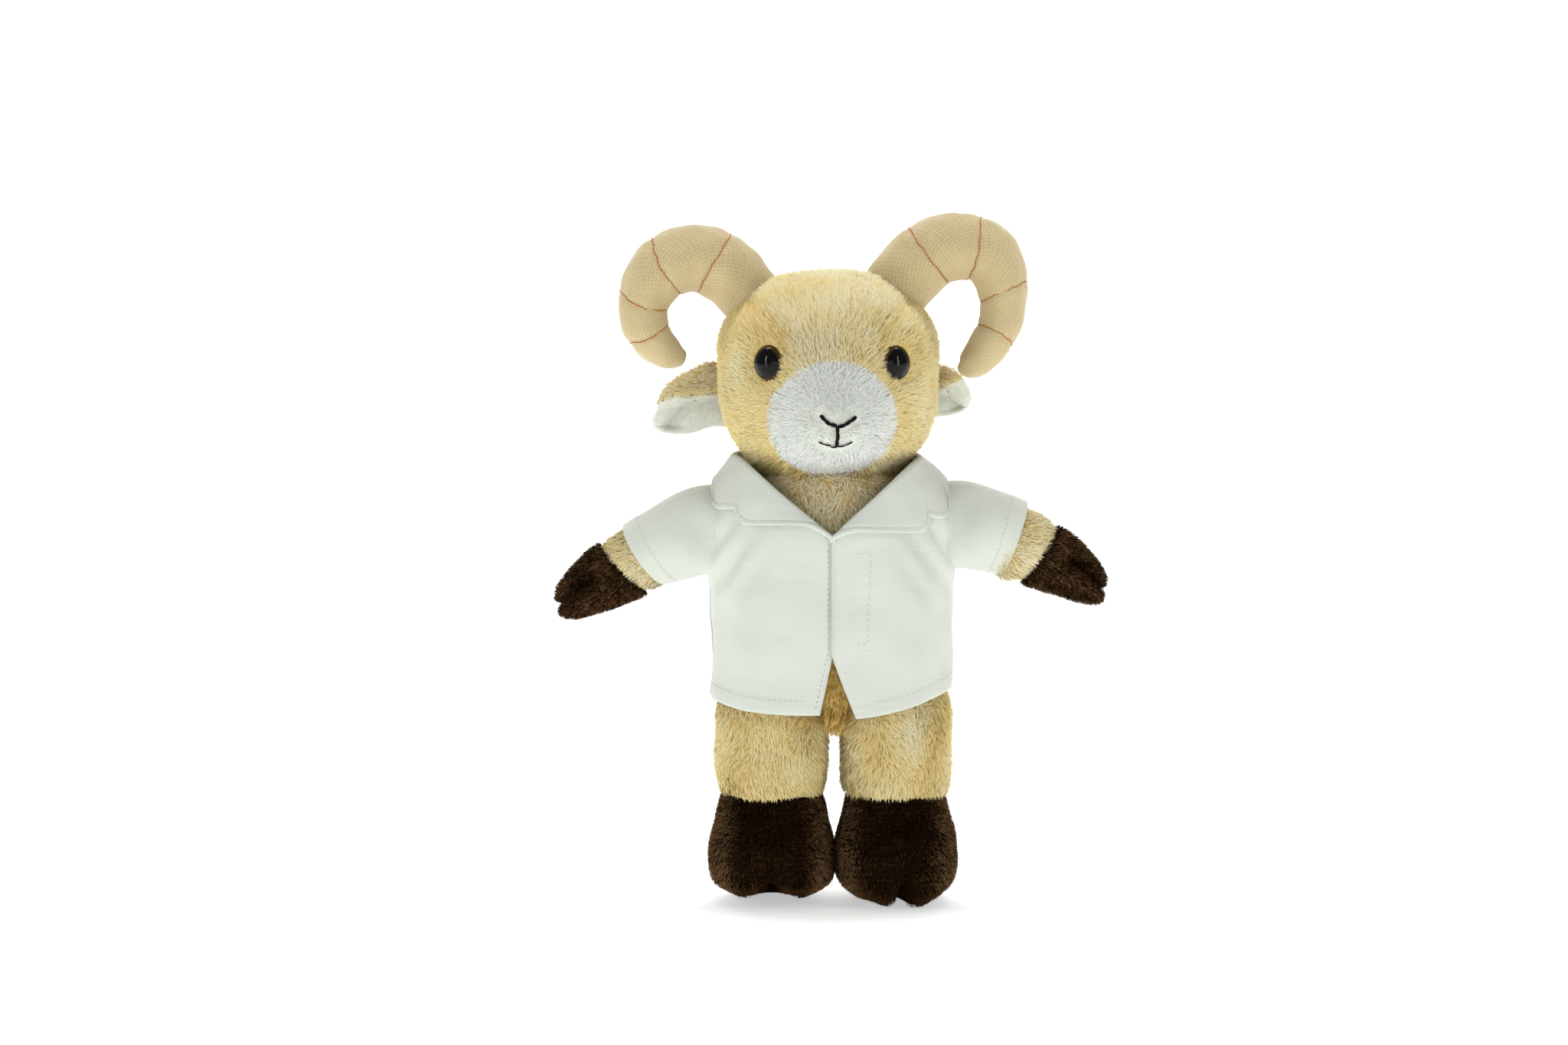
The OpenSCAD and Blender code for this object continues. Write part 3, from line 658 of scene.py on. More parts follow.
def head_keep(p):
    q = to_face(p)
    return ~in_muzzle(q, -0.6) & (eye_gap(q) > 6.2) & (p[..., 2] > NECK_Z)


def muzzle_length(p):
    return 3.0 * (0.28 + 0.72 * ease((nose_gap(to_face(p)) - 0.6) / 3.2))


def muzzle_tone(p):
    q = to_face(p)
    # Greyer beside the stitched nose and mouth; lighter towards the bottom, painted light that lifts the shade under
    # the muzzle
    return 0.66 - 0.2 * bell(nose_gap(q), 1.6) + 0.05 * ripple(q, 9, 8) + 0.25 * ease((-q[..., 2] - 22) / 8)


# Finer strands on the face, which the photo shows, and fewer, wider ones behind
pile("face_pile", head_surface, "head", "fur", 6.4, head_length, 54, away_from_nose,
     lambda p: head_keep(p) & (p[..., 1] < 2), head_tone, width=0.23, seed=1)
pile("head_back_pile", head_surface, "head", "fur", 3.8, head_length, 54, away_from_nose,
     lambda p: head_keep(p) & (p[..., 1] >= 2), head_tone, width=0.32, seed=7)
pile("muzzle_pile", muzzle_surface, "head", "muzzle_fur", 8.0, muzzle_length, 50,
     away_from_nose, lambda p: nose_gap(to_face(p)) > 0.45, muzzle_tone, width=0.22, clump=1.3, seed=2)


def on_muzzle(line):
    line = spline(line, 24)
    return to_world(on_face(line[:, 0], line[:, 1], -42.0))


def muzzle_normal(p):
    return turned(unit((to_face(p) - MUZZLE) / MUZZLE_R ** 2), FACE_TURN)


nose_points, nose_faces = stitches(NOSE[:3], 0.68, (2.6, -0.8), 1.1, on_muzzle, muzzle_normal, 0.12)
lip_points, lip_faces = stitches(NOSE[3:], 0.35, (2.2, -0.3), 0.9, on_muzzle, muzzle_normal, 0.14, seed=6)
lip_faces = [[i + len(nose_points) for i in f] for f in lip_faces]
piece("nose_and_mouth_thread", np.vstack([nose_points, lip_points]), nose_faces + lip_faces, black_thread,
      "head", ("nose_stitching",))


# ---- Eyes -------------------------------------------------------------------------------------

# Radius and height of the eye and its shank, from the surface of the head outward
EYE_PROFILE = [(0.0, -8.5), (2.2, -8.4), (2.2, -0.4), (5.4, -0.3), (6.0, 0.1), (6.05, 0.6), (5.75, 1.3), (5.1, 2.3),
               (4.1, 3.2), (2.8, 3.95), (1.4, 4.35), (0.25, 4.45)]
EYE_WIDE = 1.07


def eye(side):
    """Domed plastic eye with a short shank, sunk into the fur."""
    fine = np.vstack([EYE_PROFILE[:4], spline(EYE_PROFILE[3:], 40)[1:]])
    fine[:, 0] = np.maximum(EYE_WIDE * fine[:, 0], 0.05)
    a = circle(48)
    v, q, e = lofted(vec(fine[:, :1] * np.cos(a), fine[:, :1] * np.sin(a), fine[:, 1:]))
    out = np.array([side * math.sin(EYE_SPREAD), -math.cos(EYE_SPREAD), 0])
    right = np.array([-out[1], out[0], 0])
    face = out * (HEAD_R - 1.2) + [0, 0, EYE_Z] + v[:, :1] * right + v[:, 1:2] * np.array([0, 0, 1]) + v[:, 2:] * out
    piece(f"eye_bead_{NAME[side]}", to_world(face), faces_of(q, e), eye_mat, "head",
          (f"eye_{NAME[side]}", f"eye_washer_{NAME[side]}"), v[:, :2])


eye(-1)
eye(1)


# ---- Horns ------------------------------------------------------------------------------------

# Middle line of each horn as x, y, z and radius
HORN_LINE = {
    -1: [(-21.5, 3, 209.5, 10.3), (-29.6, 3, 218.7, 11.5), (-36.5, 2.5, 226.2, 12.1), (-44.7, 2, 230.7, 12.2),
         (-53.5, 1, 230.8, 12), (-61.3, 0, 226.7, 11.3), (-66.2, -1, 218.7, 9.9), (-67.1, -2, 211, 8.6),
         (-65.4, -3, 205, 8), (-61.9, -3.5, 200.3, 7), (-56.6, -4, 197.2, 5.5), (-52, -4, 195.7, 2)],
    1: [(16.2, 3, 208.5, 10.2), (22.2, 3, 218.3, 11.9), (28.6, 2.5, 227, 12.5), (37, 2, 233.7, 12.4),
        (47, 1, 235.7, 11.8), (56, 0, 232.4, 11.3), (60.5, -1, 224.5, 9.7), (61.3, -2, 215.5, 8.3),
        (59.6, -3.5, 206.5, 7.5), (54.4, -5, 198.2, 6.9), (49, -6.5, 193.2, 5.1), (45.4, -7, 191.4, 1.6)]}
# Each sewn line's place at the outer edge, the front and the inner edge of the horn, counted in the points above
HORN_THREADS = {-1: [(2.6, 2.75, 3.0), (4.6, 5.0, 5.2), (6.15, 6.75, 6.8), (8.05, 8.45, 8.35)],
                1: [(2.75, 2.75, 2.9), (4.35, 4.65, 5.0), (6.3, 6.65, 7.05), (8.3, 8.25, 8.25)]}
TIP_ROWS = 14


def horn(side):
    rows, cols = 150, 56
    path = spline(HORN_LINE[side], rows)
    core, radius = path[:, :3] + [0, MID, 0], path[:, 3]
    row = np.arange(rows)
    rounded = 6.2 * np.sqrt(np.clip((rows - 0.6 - row) / TIP_ROWS, 0, 1))
    radius = np.where(row > rows - TIP_ROWS, np.minimum(radius, rounded), radius)
    along = unit(np.gradient(core, axis=0))
    depth = unit(np.array([0, 1, 0]) - along[:, 1:2] * along)
    wide = np.cross(depth, along)
    run = run_of(core)
    marks = [np.interp(t, np.linspace(0, len(HORN_LINE[side]) - 1, rows), run) for t in HORN_THREADS[side]]
    a = circle(cols)[None, :]
    outer = 0 if side < 0 else math.pi

    def thread_run(mark, angle):
        """How far along the horn a sewn line lies at an angle round it."""
        inward = 0.5 - 0.5 * np.cos(angle - outer)
        return mark[0] + (mark[2] - mark[0]) * inward + (mark[1] - 0.5 * mark[0] - 0.5 * mark[2]) * np.sin(angle) ** 2

    def surface_radius(s, r, angle):
        """The horn draws in along each sewn line and puckers beside it."""
        near = [s - thread_run(m, angle) for m in marks]
        pucker = sum(bell(x, 3.5) for x in near) * np.sin(11 * angle + 0.5 * s)
        return r - 0.4 * sum(bell(x, 1.2) for x in near) + 0.1 * pucker

    r = surface_radius(run[:, None], radius[:, None], a)[..., None]
    ring = core[:, None] + r * (np.cos(a)[..., None] * wide[:, None] + np.sin(a)[..., None] * depth[:, None])
    ring = ring + 0.25 * ripple(ring, 9, 31)[..., None] * unit(ring - core[:, None])
    v, q, e = lofted(ring[:, ::-1])
    # The knit runs along the horn and meets at the back
    from_front = (a + 0.5 * math.pi + math.pi) % TAU - math.pi
    knit = vec(run[:, None], 10.5 * from_front)[:, ::-1].reshape(-1, 2)
    knit = np.vstack([knit, np.zeros((len(v) - len(knit), 2))])
    stuffed(f"horn_{NAME[side]}_knit", v, faces_of(q, e), horn_knit, "head",
            (f"horn_{NAME[side]}", f"horn_stuffing_{NAME[side]}"), knit)
    # The thread shows over the front of the horn and wavers a little
    lines = []
    angle = np.linspace(math.radians(-182), math.radians(2), 70)
    for m in marks:
        s = thread_run(m, angle) + 0.12 * np.sin(angle * 9 + m[0])
        w, d = unit(between(s, run, wide)), unit(between(s, run, depth))
        rr = surface_radius(s, np.interp(s, run, radius), angle) + 0.08
        lines.append(between(s, run, core) + rr[:, None] * (np.cos(angle)[:, None] * w + np.sin(angle)[:, None] * d))

    def from_core(p):
        return unit(p - core[np.argmin(np.linalg.norm(p[:, None] - core[None], axis=-1), axis=1)])

    v, f = stitches(lines, 0.2, (1.5, 0.0), 0.05, as_is, from_core, 0.12, seed=40)
    piece(f"horn_{NAME[side]}_thread", v, f, rust_thread, "head", (f"horn_stitching_{NAME[side]}",))


horn(-1)
horn(1)


# ---- Ears -------------------------------------------------------------------------------------

EAR_Y = MID + 9.5
# As x, z: the ear's outline and its middle, the edge of the lining, and the crease that the lining folds into
EARS = {-1: ([(-33, 191), (-42, 194), (-50, 191.2), (-57, 187.3), (-60.5, 183), (-62.3, 177), (-64, 172.2),
              (-61.5, 169.4), (-56, 168.4), (-50, 168.8), (-43, 171), (-33, 173)], (-49, 180.5),
             [(-66, 176.5), (-62, 179.6), (-57, 181.8), (-48, 182.2), (-30, 183.2)],
             [(-58.5, 171.5), (-56.3, 174), (-54, 176.6), (-51, 178.6), (-46, 180), (-40, 181), (-33, 182)]),
        1: ([(33, 192), (41, 192.5), (46, 189), (49.3, 185), (50.3, 181), (48.3, 177.2), (43.5, 175.2), (38.5, 174.6),
             (33, 174)], (42, 183.5),
            [(30, 183), (38, 184.2), (44, 187), (52, 190.5)],
            [(33, 181), (38, 181.5), (42, 180.8), (46, 178.2)])}


def ear(side, seed):
    """Leaf-shaped ear: plush over the top and back, velvet lining below the edge line, folded in at the crease."""
    outline, middle, edge, crease = EARS[side]
    cols, rows = 110, 40
    s = np.sin(np.linspace(0.03, RIGHT_ANGLE, rows))[:, None]
    flat = np.array(middle) + s[..., None] * (spline(outline + outline[:1], cols + 1)[:-1] - middle)
    x, z = flat[..., 0], flat[..., 1]
    half = 2.7 * np.sqrt(np.clip(1 - s ** 2, 0, 1))
    above_edge = z - height_of(edge, x)
    below = ease(-above_edge / 1.2)
    lip = bell(above_edge - 1.6, 2.6) * ease((1.02 - s) / 0.2)
    gap = line_distance(x, z, crease)
    under = z < height_of(crease, x)
    bowl = np.where(under, bell(gap, 5.0), bell(gap, 1.1)) * below * ease((1.0 - s) / 0.22)
    rim = bell(gap - 2.6, 1.9) * ~under * below

    def curve(x):
        """The ear bends forward away from the head."""
        return 0.006 * (x - side * 38) ** 2

    front = EAR_Y - half - 1.8 * lip + 2.9 * bowl - 1.0 * rim - curve(x)
    back = EAR_Y + half + 0.9 * bowl - curve(x)
    rings = np.concatenate([vec(x, front, z), vec(x, back, z)[::-1][1:]])
    v, q, e = lofted(rings[:, ::side])
    middle_of = v[q].mean(1)
    lining = (np.arange(len(q)) // cols < rows + 5) & (middle_of[:, 2] < height_of(edge, middle_of[:, 0]))
    n = vertex_normals(v, q)
    if n[:cols * 4, 1].mean() > 0:
        q, e, n = q[:, ::-1], e[:, ::-1], -n
    # The plush steps back under the lining
    sunk = np.unique(q[lining])
    body_points = v.copy()
    body_points[sunk] -= n[sunk] * 0.7
    name = f"ear_{NAME[side]}"
    stuffed(f"{name}_plush", body_points, faces_of(q, e), fur_skin, name, (f"ear_outer_{NAME[side]}",))
    cover, cover_faces, _ = thickened(v, q[lining], 0.7)
    piece(f"{name}_velvet", cover, cover_faces, ear_velvet, name, (f"ear_lining_{NAME[side]}",))

    def nap(p, n):
        return np.array([side * 1.0, 0, -0.55]) + 0.3 * ripple(p, 9, seed)[..., None]

    def tone(p):
        # The lightest tone, painted light against the shade of the horn above; darker along the lining's edge, painted
        # shade where the plush rolls over the lining
        return 1.0 + 0.05 * ripple(p, 8, seed) - 0.15 * bell(p[..., 2] - height_of(edge, p[..., 0]), 1.5)

    def clear_of_head(p):
        return np.hypot(p[..., 0], p[..., 1] - MID) > 35.5

    def back_or_top(p):
        x, y, z = xyz(p)
        return clear_of_head(p) & ((z > height_of(edge, x) - 0.6) | (y > EAR_Y + 1.2 - curve(x)))

    pile(f"{name}_pile", (v, q[~lining]), name, "ear_fur", 5.5, 2.2, 60, nap, back_or_top, tone, seed=seed)
    pile(f"{name}_velvet_pile", (v, q[lining]), name, "ear_lining", 7.0, 0.8, 50, nap, clear_of_head,
         lambda p: 0.6 + 0.08 * ripple(p, 6, seed), width=0.2, clump=0.9, seed=seed + 1)


ear(-1, 51)
ear(1, 57)


# ---- Torso and tail ---------------------------------------------------------------------------

# Height, half width, half depth
TORSO = [(63.5, 17, 15), (66.5, 28, 23), (72, 35.5, 27.5), (84, 38, 29), (104, 38, 29.5), (121, 37, 28.5),
         (133, 34.5, 27), (142, 31, 25), (149, 27.5, 23), (153.4, 24.5, 21.3), (156, 22, 19.5)]
HIP = np.array([22.3, MID, 68.0])
SHOULDER = np.array([35.0, MID, 142.0])
LEG_R, ARM_R = 18.5, 9.4
# How far both legs stand to the right of the middle
LEG_SHIFT = 1.1
# How far each arm hangs below level
DROP = {-1: math.radians(28.6), 1: math.radians(22.6)}


def oval_ring(a, w, d, n):
    return vec(w * signed_power(np.cos(a), 2 / n), d * signed_power(np.sin(a), 2 / n))


def swept_gap(p, pivot, directions, radius, reach):
    """How far points lie outside a limb of the given radius at any of its directions."""
    best = np.full(p.shape[:-1], 1e9)
    for d in directions:
        t = np.clip(((p - pivot) * d).sum(-1), 0, reach)
        best = np.minimum(best, np.linalg.norm(p - pivot - t[..., None] * d, axis=-1))
    return best - radius


def limb_gap(p):
    """Distance of torso points from the rooms that the legs swing in."""
    q = vec(np.abs(p[..., 0] - LEG_SHIFT), p[..., 1], p[..., 2])
    ways = [np.array([0, -math.sin(a), -math.cos(a)]) for a in np.radians(np.linspace(-20, 90, 9))]
    return swept_gap(q, HIP, ways, LEG_R + 1, 45)


height = np.linspace(TORSO[0][0], TORSO[-1][0], 64)[:, None]
oval = oval_ring(circle(96), *table(height, TORSO, 2), 2.3)
torso_v, torso_q, torso_e = lofted(vec(oval[..., 0], oval[..., 1] + MID, height))
# The plush draws in where a leg's top sits, so that the leg has room to swing
inward = unit((np.array([0, MID, 0]) - torso_v) * [1, 1, 0])
for _ in range(30):
    inside = np.clip(0.4 - limb_gap(torso_v), 0, 1.5)
    torso_v = torso_v + inward * inside[:, None] * (np.hypot(torso_v[:, 0], torso_v[:, 1] - MID) > 2)[:, None]
torso_surface = (torso_v, torso_q)
stuffed("torso_plush", torso_v, faces_of(torso_q, torso_e), fur_skin, "torso", ("torso_cover", "torso_stuffing"))


# Heights of the shirt's hem, of its opening's top and of its collar, where the fur shows past them
FUR_HEM, FUR_SLIT, FUR_COLLAR = 78, 97, 147
# The fur stays this far out of the rooms that the legs swing in
FUR_CLEAR = 0.7


def in_slit(p):
    """Behind the shirt's opening."""
    return (p[..., 1] < 0) & (np.abs(p[..., 0]) < 16)


def torso_keep(p):
    x, y, z = xyz(p)
    chest = (y < 0) & (z > 127) & (np.abs(x) < (z - 125) * 1.1 + 3)
    seen = chest | in_slit(p) & (z < FUR_SLIT) | (z < FUR_HEM) | (z > FUR_COLLAR)
    return seen & (limb_gap(p) > FUR_CLEAR)


def waist_keep(p):
    """The belt under the shirt's hem that shows when the shirt rides up."""
    z = p[..., 2]
    return (z >= FUR_HEM) & (z < 103) & ~in_slit(p) & (limb_gap(p) > FUR_CLEAR)


def chest_nap(p, n):
    """Down the body, but up and outward at the very top, where the fur meets the head's."""
    return vec(0.35 * ripple(p, 12, 61), 0, 0.8 * ease((p[..., 2] - 150) / 5) - 1.0)


# Painted light and shade: the fur above z 100 takes the lightest tones to lift the shade under the chin, and below it,
# where it shows through the shirt's opening and under its hem, it is painted darker for the shirt's shade
pile("torso_pile", torso_surface, "torso", "fur", 5.0, 3.4, 50, chest_nap, torso_keep,
     lambda p: 0.96 + 0.08 * ripple(p, 10, 62) - 0.66 * (p[..., 2] < 100), seed=3)
pile("waist_pile", torso_surface, "torso", "fur", 3.2, 2.6, 56, chest_nap, waist_keep,
     lambda p: 0.6 + 0.08 * ripple(p, 10, 62), width=0.34, seed=4)

# The tail along its own y axis, then tipped down and set at the torso's back
TAIL_R, TAIL_ROOT, TAIL_TIP = 4.3, np.array([0, MID + 25.5, 69.0]), math.radians(25)
along = spline([(0, 0), (0, 5), (0, 10), (0, 14), (0, 16.5)], 24)[:, 1:]
thick = TAIL_R * table(along, [(0, 0.98), (5, 0.88), (10, 0.85), (14, 0.66), (16.5, 0.15)])[0]
c, s = math.cos(TAIL_TIP), math.sin(TAIL_TIP)
x, y, z = thick * np.cos(circle(28)), along, thick * np.sin(circle(28))
tail_v, tail_q, tail_e = lofted((vec(x, c * y + s * z, -s * y + c * z) + TAIL_ROOT)[:, ::-1])
stuffed("tail_plush", tail_v, faces_of(tail_q, tail_e), fur_skin, "tail", ("tail",))
pile("tail_pile", (tail_v, tail_q), "tail", "fur", 5.0, 3.0, 55,
     lambda p, n: np.tile([0, 0.8, -0.6], (len(p), 1)), tone=lambda p: 0.62 + 0 * p[..., 0], seed=5)


# ---- Legs and foot hooves ---------------------------------------------------------------------

# Foot hoof: height, half width, half depth, how far its middle lies forward
FOOT = [(0, 9.5, 14.5, 2.6), (0.8, 12.5, 18, 3.0), (3.5, 16.3, 22.3, 3.7), (8, 20.0, 24.9, 4.0), (14, 21.5, 25.6, 3.7),
        (22, 21.1, 24.0, 2.6), (30, 19.1, 20.8, 1.0), (38.5, 17.1, 17.8, 0)]


def foot_rings(side, middle_x, wide, lift, tilt, seam_turn):
    """The hoof's rings, with a seam down the front that opens into the cleft between two toes."""
    z = np.concatenate([[0, 0.15, 0.4], np.linspace(0.8, 39, 50)])[:, None]
    w, d, f = table(z, FOOT, 3)
    a = -RIGHT_ANGLE + circle(112)
    off = (a - seam_turn + RIGHT_ANGLE + math.pi) % TAU - math.pi
    fold = 1 - 0.36 * ease((24 - z) / 20) * bell(off, 0.16) - 0.07 * ease((24 - z) / 12) * bell(off, 0.42) \
        - 0.04 * bell(off, 0.06) + 0.045 * ease((18 - z) / 14) * bell(np.abs(off) - 0.45, 0.3)
    x, y = np.moveaxis(oval_ring(a, wide * w, d, 2.25) * fold[..., None], -1, 0)
    front = bell(off, 1.15)
    rise = lift * front + 8 * bell(off, 0.19) + 1.2 * bell(np.abs(off) - 1.25, 0.5) \
        - tilt * np.minimum(side * x / w, 0) * front
    rings = vec(middle_x + x, MID + y - f, z + rise * ease((11 - z) / 11))
    return rings + 0.3 * ripple(rings, 13, 71)[..., None] * unit(rings - [middle_x, MID, 18]) * (rings[..., 2:] > 2)


def leg(side, wide, lift, tilt, seam_turn, seed):
    """Plush leg and its hoof: wide is the hoof's share of FOOT's width, lift and tilt raise the toes."""
    body = f"leg_{NAME[side]}"
    middle_x = side * HIP[0] + LEG_SHIFT
    hip_z = HIP[2]
    dome = hip_z + (LEG_R - 0.02) * np.sin(np.linspace(0.07, RIGHT_ANGLE, 18))
    z = np.concatenate([np.linspace(37.5, hip_z, 34), dome])[:, None]
    r = np.where(z <= hip_z, np.interp(z, [37, 50, hip_z], [LEG_R - 1.4, LEG_R, LEG_R + 0.3]),
                 np.sqrt(np.maximum(LEG_R ** 2 - (z - hip_z) ** 2, 0.01)))
    a = circle(80)
    ring = vec(middle_x + r * np.cos(a), MID + r * np.sin(a), z)
    plump = (0.5 * ripple(ring, 24, seed) + 0.2 * bell(ring[..., 2] - 50, 10)) * ease((66 - ring[..., 2]) / 12)
    ring = ring + plump[..., None] * unit((ring - [middle_x, MID, 0]) * [1, 1, 0])
    v, q, e = lofted(ring)
    stuffed(f"{body}_plush", v, faces_of(q, e), fur_skin, body,
            (f"leg_cover_{NAME[side]}", f"leg_stuffing_{NAME[side]}"))

    def nap(p, n):
        whirl = 0.75 * ripple(p, 30, seed + 1)
        return vec(whirl * n[:, 1], -whirl * n[:, 0], -1.0) + 0.1

    def length(p):
        return 3.4 - 0.9 * ease((45 - p[..., 2]) / 6) - 1.2 * ease((p[..., 2] - 74) / 6)

    pile(f"{body}_pile", (v, q), body, "fur", 6.0, length, 56, nap,
         lambda p: (p[..., 2] < 87) & (p[..., 2] > 39.9 + 0.5 * ripple(p, 7, seed + 3)),
         lambda p: 0.73 + 0.08 * ripple(p, 22, seed + 2), seed=seed)
    v, q, e = lofted(foot_rings(side, middle_x, wide, lift, tilt, seam_turn))
    hoof = f"foot_hoof_{NAME[side]}"
    stuffed(f"{hoof}_plush", v, faces_of(q, e), hoof_skin, body, (hoof,))

    def toe_nap(p, n):
        return vec(0.4 * ripple(p, 20, seed + 4), -0.25, -1.0)

    def hoof_tone(p):
        rows = np.sin(p[..., 2] * TAU / 1.9 + 1.2 * ripple(p, 9, seed + 5))
        # edge paints the hoof lighter towards its sides: a painted sheen from the light at the sides
        edge = ease((np.abs(p[..., 0] - middle_x) - 8) / 14)
        return 0.3 + 0.07 * rows + 0.07 * ripple(p, 14, seed + 6) + 1.0 * edge

    pile(f"{hoof}_pile", (v, q), body, "hoof_plush", 5.5, 1.6, 48, toe_nap, lambda p: p[..., 2] > 0.9,
         hoof_tone, width=0.26, clump=1.1, pull=0.3, spread=0.13, seed=seed + 7)


leg(-1, 1.03, 6.2, 0, -0.03, 81)
leg(1, 1.0, 0.5, 2.6, 0.13, 95)


# ---- Arms and hand hooves ---------------------------------------------------------------------

# Hand hoof from the wrist: share of its length, radius as a share of the arm's; it ends in a dimple between the toes
HAND = [(0.0, 1.12), (0.06, 1.2), (0.25, 1.14), (0.45, 1.03), (0.62, 0.92), (0.78, 0.79), (0.9, 0.64), (0.97, 0.47),
        (1.0, 0.3), (0.985, 0.17), (0.95, 0.05)]
HAND_LEN = 26.3


def on_arm(p, side):
    """From the arm's own frame, its axis along +x from the shoulder, to the CAD frame."""
    return turned(p * [side, 1, 1], side * DROP[side], axis=1) + SHOULDER * [side, 1, 1]


def arm(side, wrist, bend, puff, slant, fold_at, seed):
    """Plush arm and its hoof.

    wrist is its length, bend lowers the hoof's end, puff swells the arm above the wrist, slant tips the wrist's
    seam, and fold_at is the angle of the fold between the toes.
    """
    body = f"arm_{NAME[side]}"
    x = np.concatenate([-ARM_R * np.cos(np.linspace(0.08, RIGHT_ANGLE, 14)), np.linspace(1, wrist + 0.5, 36)])[:, None]
    r = np.where(x < 0, np.sqrt(np.maximum(ARM_R ** 2 - x ** 2, 0.01)), ARM_R) + puff * bell(x - wrist + 8, 7)
    a = circle(64)
    lean = slant * r * np.sin(a) * ease((x - wrist + 12) / 10)
    v, q, e = lofted(vec(x + lean, r * np.cos(a), r * np.sin(a)))
    quads, ends = flipped(q, e, side < 0)
    world = on_arm(v, side)
    stuffed(f"{body}_plush", world, faces_of(quads, ends), fur_skin, body,
            (f"arm_cover_{NAME[side]}", f"arm_stuffing_{NAME[side]}"))
    out = np.subtract(*on_arm(np.array([[1.0, 0, 0], [0, 0, 0]]), side))
    up = np.array([-side * out[2], 0, side * out[0]])
    root = SHOULDER * [side, 1, 1]

    def seam_run(p):
        """How far points lie beyond the wrist's slanted seam."""
        return (p - root) @ (out - slant * up) - wrist

    def nap(p, n):
        return out + 0.4 * vec(0, ripple(p, 15, seed), ripple(p, 15, seed + 1))

    pile(f"{body}_pile", (world, quads), body, "fur", 6.5, lambda p: 3.0 - 1.0 * ease((seam_run(p) + 5) / 4),
         50, nap, lambda p: ((p - root) @ out > 24) & (seam_run(p) < -0.3),
         lambda p: 0.86 + 0.06 * ripple(p, 12, seed + 2), seed=seed)

    s, share = spline(HAND, 60).T[:, :, None]
    b = circle(96)
    # The fold between the toes runs along the front and the back, nearer the upper side; 0 is the front of the hoof
    front = (b + math.pi) % TAU - math.pi
    rear = (b + TAU) % TAU - math.pi
    notch = 0.74 * bell(front - fold_at, 0.3) + 0.1 * bell(front - fold_at, 0.7) + 0.5 * bell(rear + fold_at, 0.22)
    radial = ARM_R * share * (1 - ease((s - 0.12) / 0.45) * notch)
    toe = 0.05 * np.sin(np.where(np.abs(front) < 1.57, front - fold_at, 0)) \
        + 0.09 * bell(front - fold_at, 0.4) + 0.09 * bell(rear + fold_at, 0.4)
    reach = wrist + HAND_LEN * (s - ease((s - 0.6) / 0.4) * toe) + slant * (1 - s) * radial * np.sin(b)
    ring = vec(reach, -radial * np.cos(b) * 0.92,
               radial * np.sin(b) * np.where(b > math.pi, 1.07, 1.02) + bend * s ** 2)
    middle = np.array([wrist + 12, 0, 0])
    ring = ring + 0.25 * ripple(ring, 11, seed + 3)[..., None] * unit(ring - middle)
    v, q, e = lofted(ring)
    # Judged before the dimple, which faces the other way
    near = 40 * len(b)
    outward = (vertex_normals(v, q)[:near] * (v[:near] - middle)).sum() > 0
    quads, ends = flipped(q, e, outward == (side < 0))
    world = on_arm(v, side)
    hoof = f"hand_hoof_{NAME[side]}"
    stuffed(f"{hoof}_plush", world, faces_of(quads, ends), hoof_skin, body, (hoof,))

    def hoof_tone(p):
        far = ((p - root) @ out - wrist) / HAND_LEN
        turn = np.arctan2((p - root) @ up - bend * far ** 2, MID - p[..., 1])
        # Painted shade darkens the fur in the fold between the toes
        painted_valley_shade = bell(turn - fold_at, 0.3) * ease((far - 0.2) / 0.3)
        return 0.54 + 0.07 * ripple(p, 4, seed + 5) + 0.07 * ripple(p, 12, seed + 6) - 0.55 * painted_valley_shade

    pile(f"{hoof}_pile", (world, quads), body, "hoof_plush", 6.5, 1.5, 48, nap, None, hoof_tone,
         width=0.26, clump=1.2, pull=0.3, spread=0.13, seed=seed + 7)


arm(-1, 45.3, -1.2, 1.3, 0.3, 0.35, 111)
arm(1, 43.1, -3.6, 2.6, 0.2, 0.42, 125)


# ---- Shirt ------------------------------------------------------------------------------------

SHIRT_W, SHIRT_D, SHIRT_N = 43.0, 32.5, 2.5
# Height, and how much narrower and shallower the shirt is there
SHIRT_LINE = [(60, 0, 0), (100, 0, 0), (132, 0, 0), (140, 0.7, 0.6), (146, 2.4, 1.8), (151, 5, 3.6), (155, 8.6, 5.6),
              (158.5, 12.3, 7)]
SHIRT_TOP = 158.5
# Heights where the neckline's V ends and where the fronts start to part
NECK_V, OPEN_Z = 133.4, 93.4
# How far each front and the back lie outside the shirt's plain form
FRONT_T = {-1: -0.4, 1: 0.5}
BACK_T = 0.1
# Cloth thickness, what a turned-in hem adds, and how deep a line of stitching pulls in
CLOTH, HEM_CLOTH, STITCH_DIP = 0.55, 0.45, 0.3
# Widths of the hem, of the opening's edge and of the cuff's hem, and where their stitching runs
HEM, EDGE_HEM, CUFF_HEM = 5.4, 6.0, 6.2
HEM_SEAM, HEM_DIP, CUFF_SEAM = 5.1, 4.9, 5.6
# Closure tapes: bottom, top and outer end
TAPE_LOW, TAPE_HIGH, TAPE_END = 96.5, 127.5, 14
SWING = {-1: "leg_left_swing", 1: "leg_right_swing"}


def out_of_body(p):
    return unit((p - [0, MID, 0]) * [1, 1, 0])


def shirt_size(z, t):
    dw, dd = table(z, SHIRT_LINE, 2)
    return SHIRT_W - dw + t, SHIRT_D - dd + t


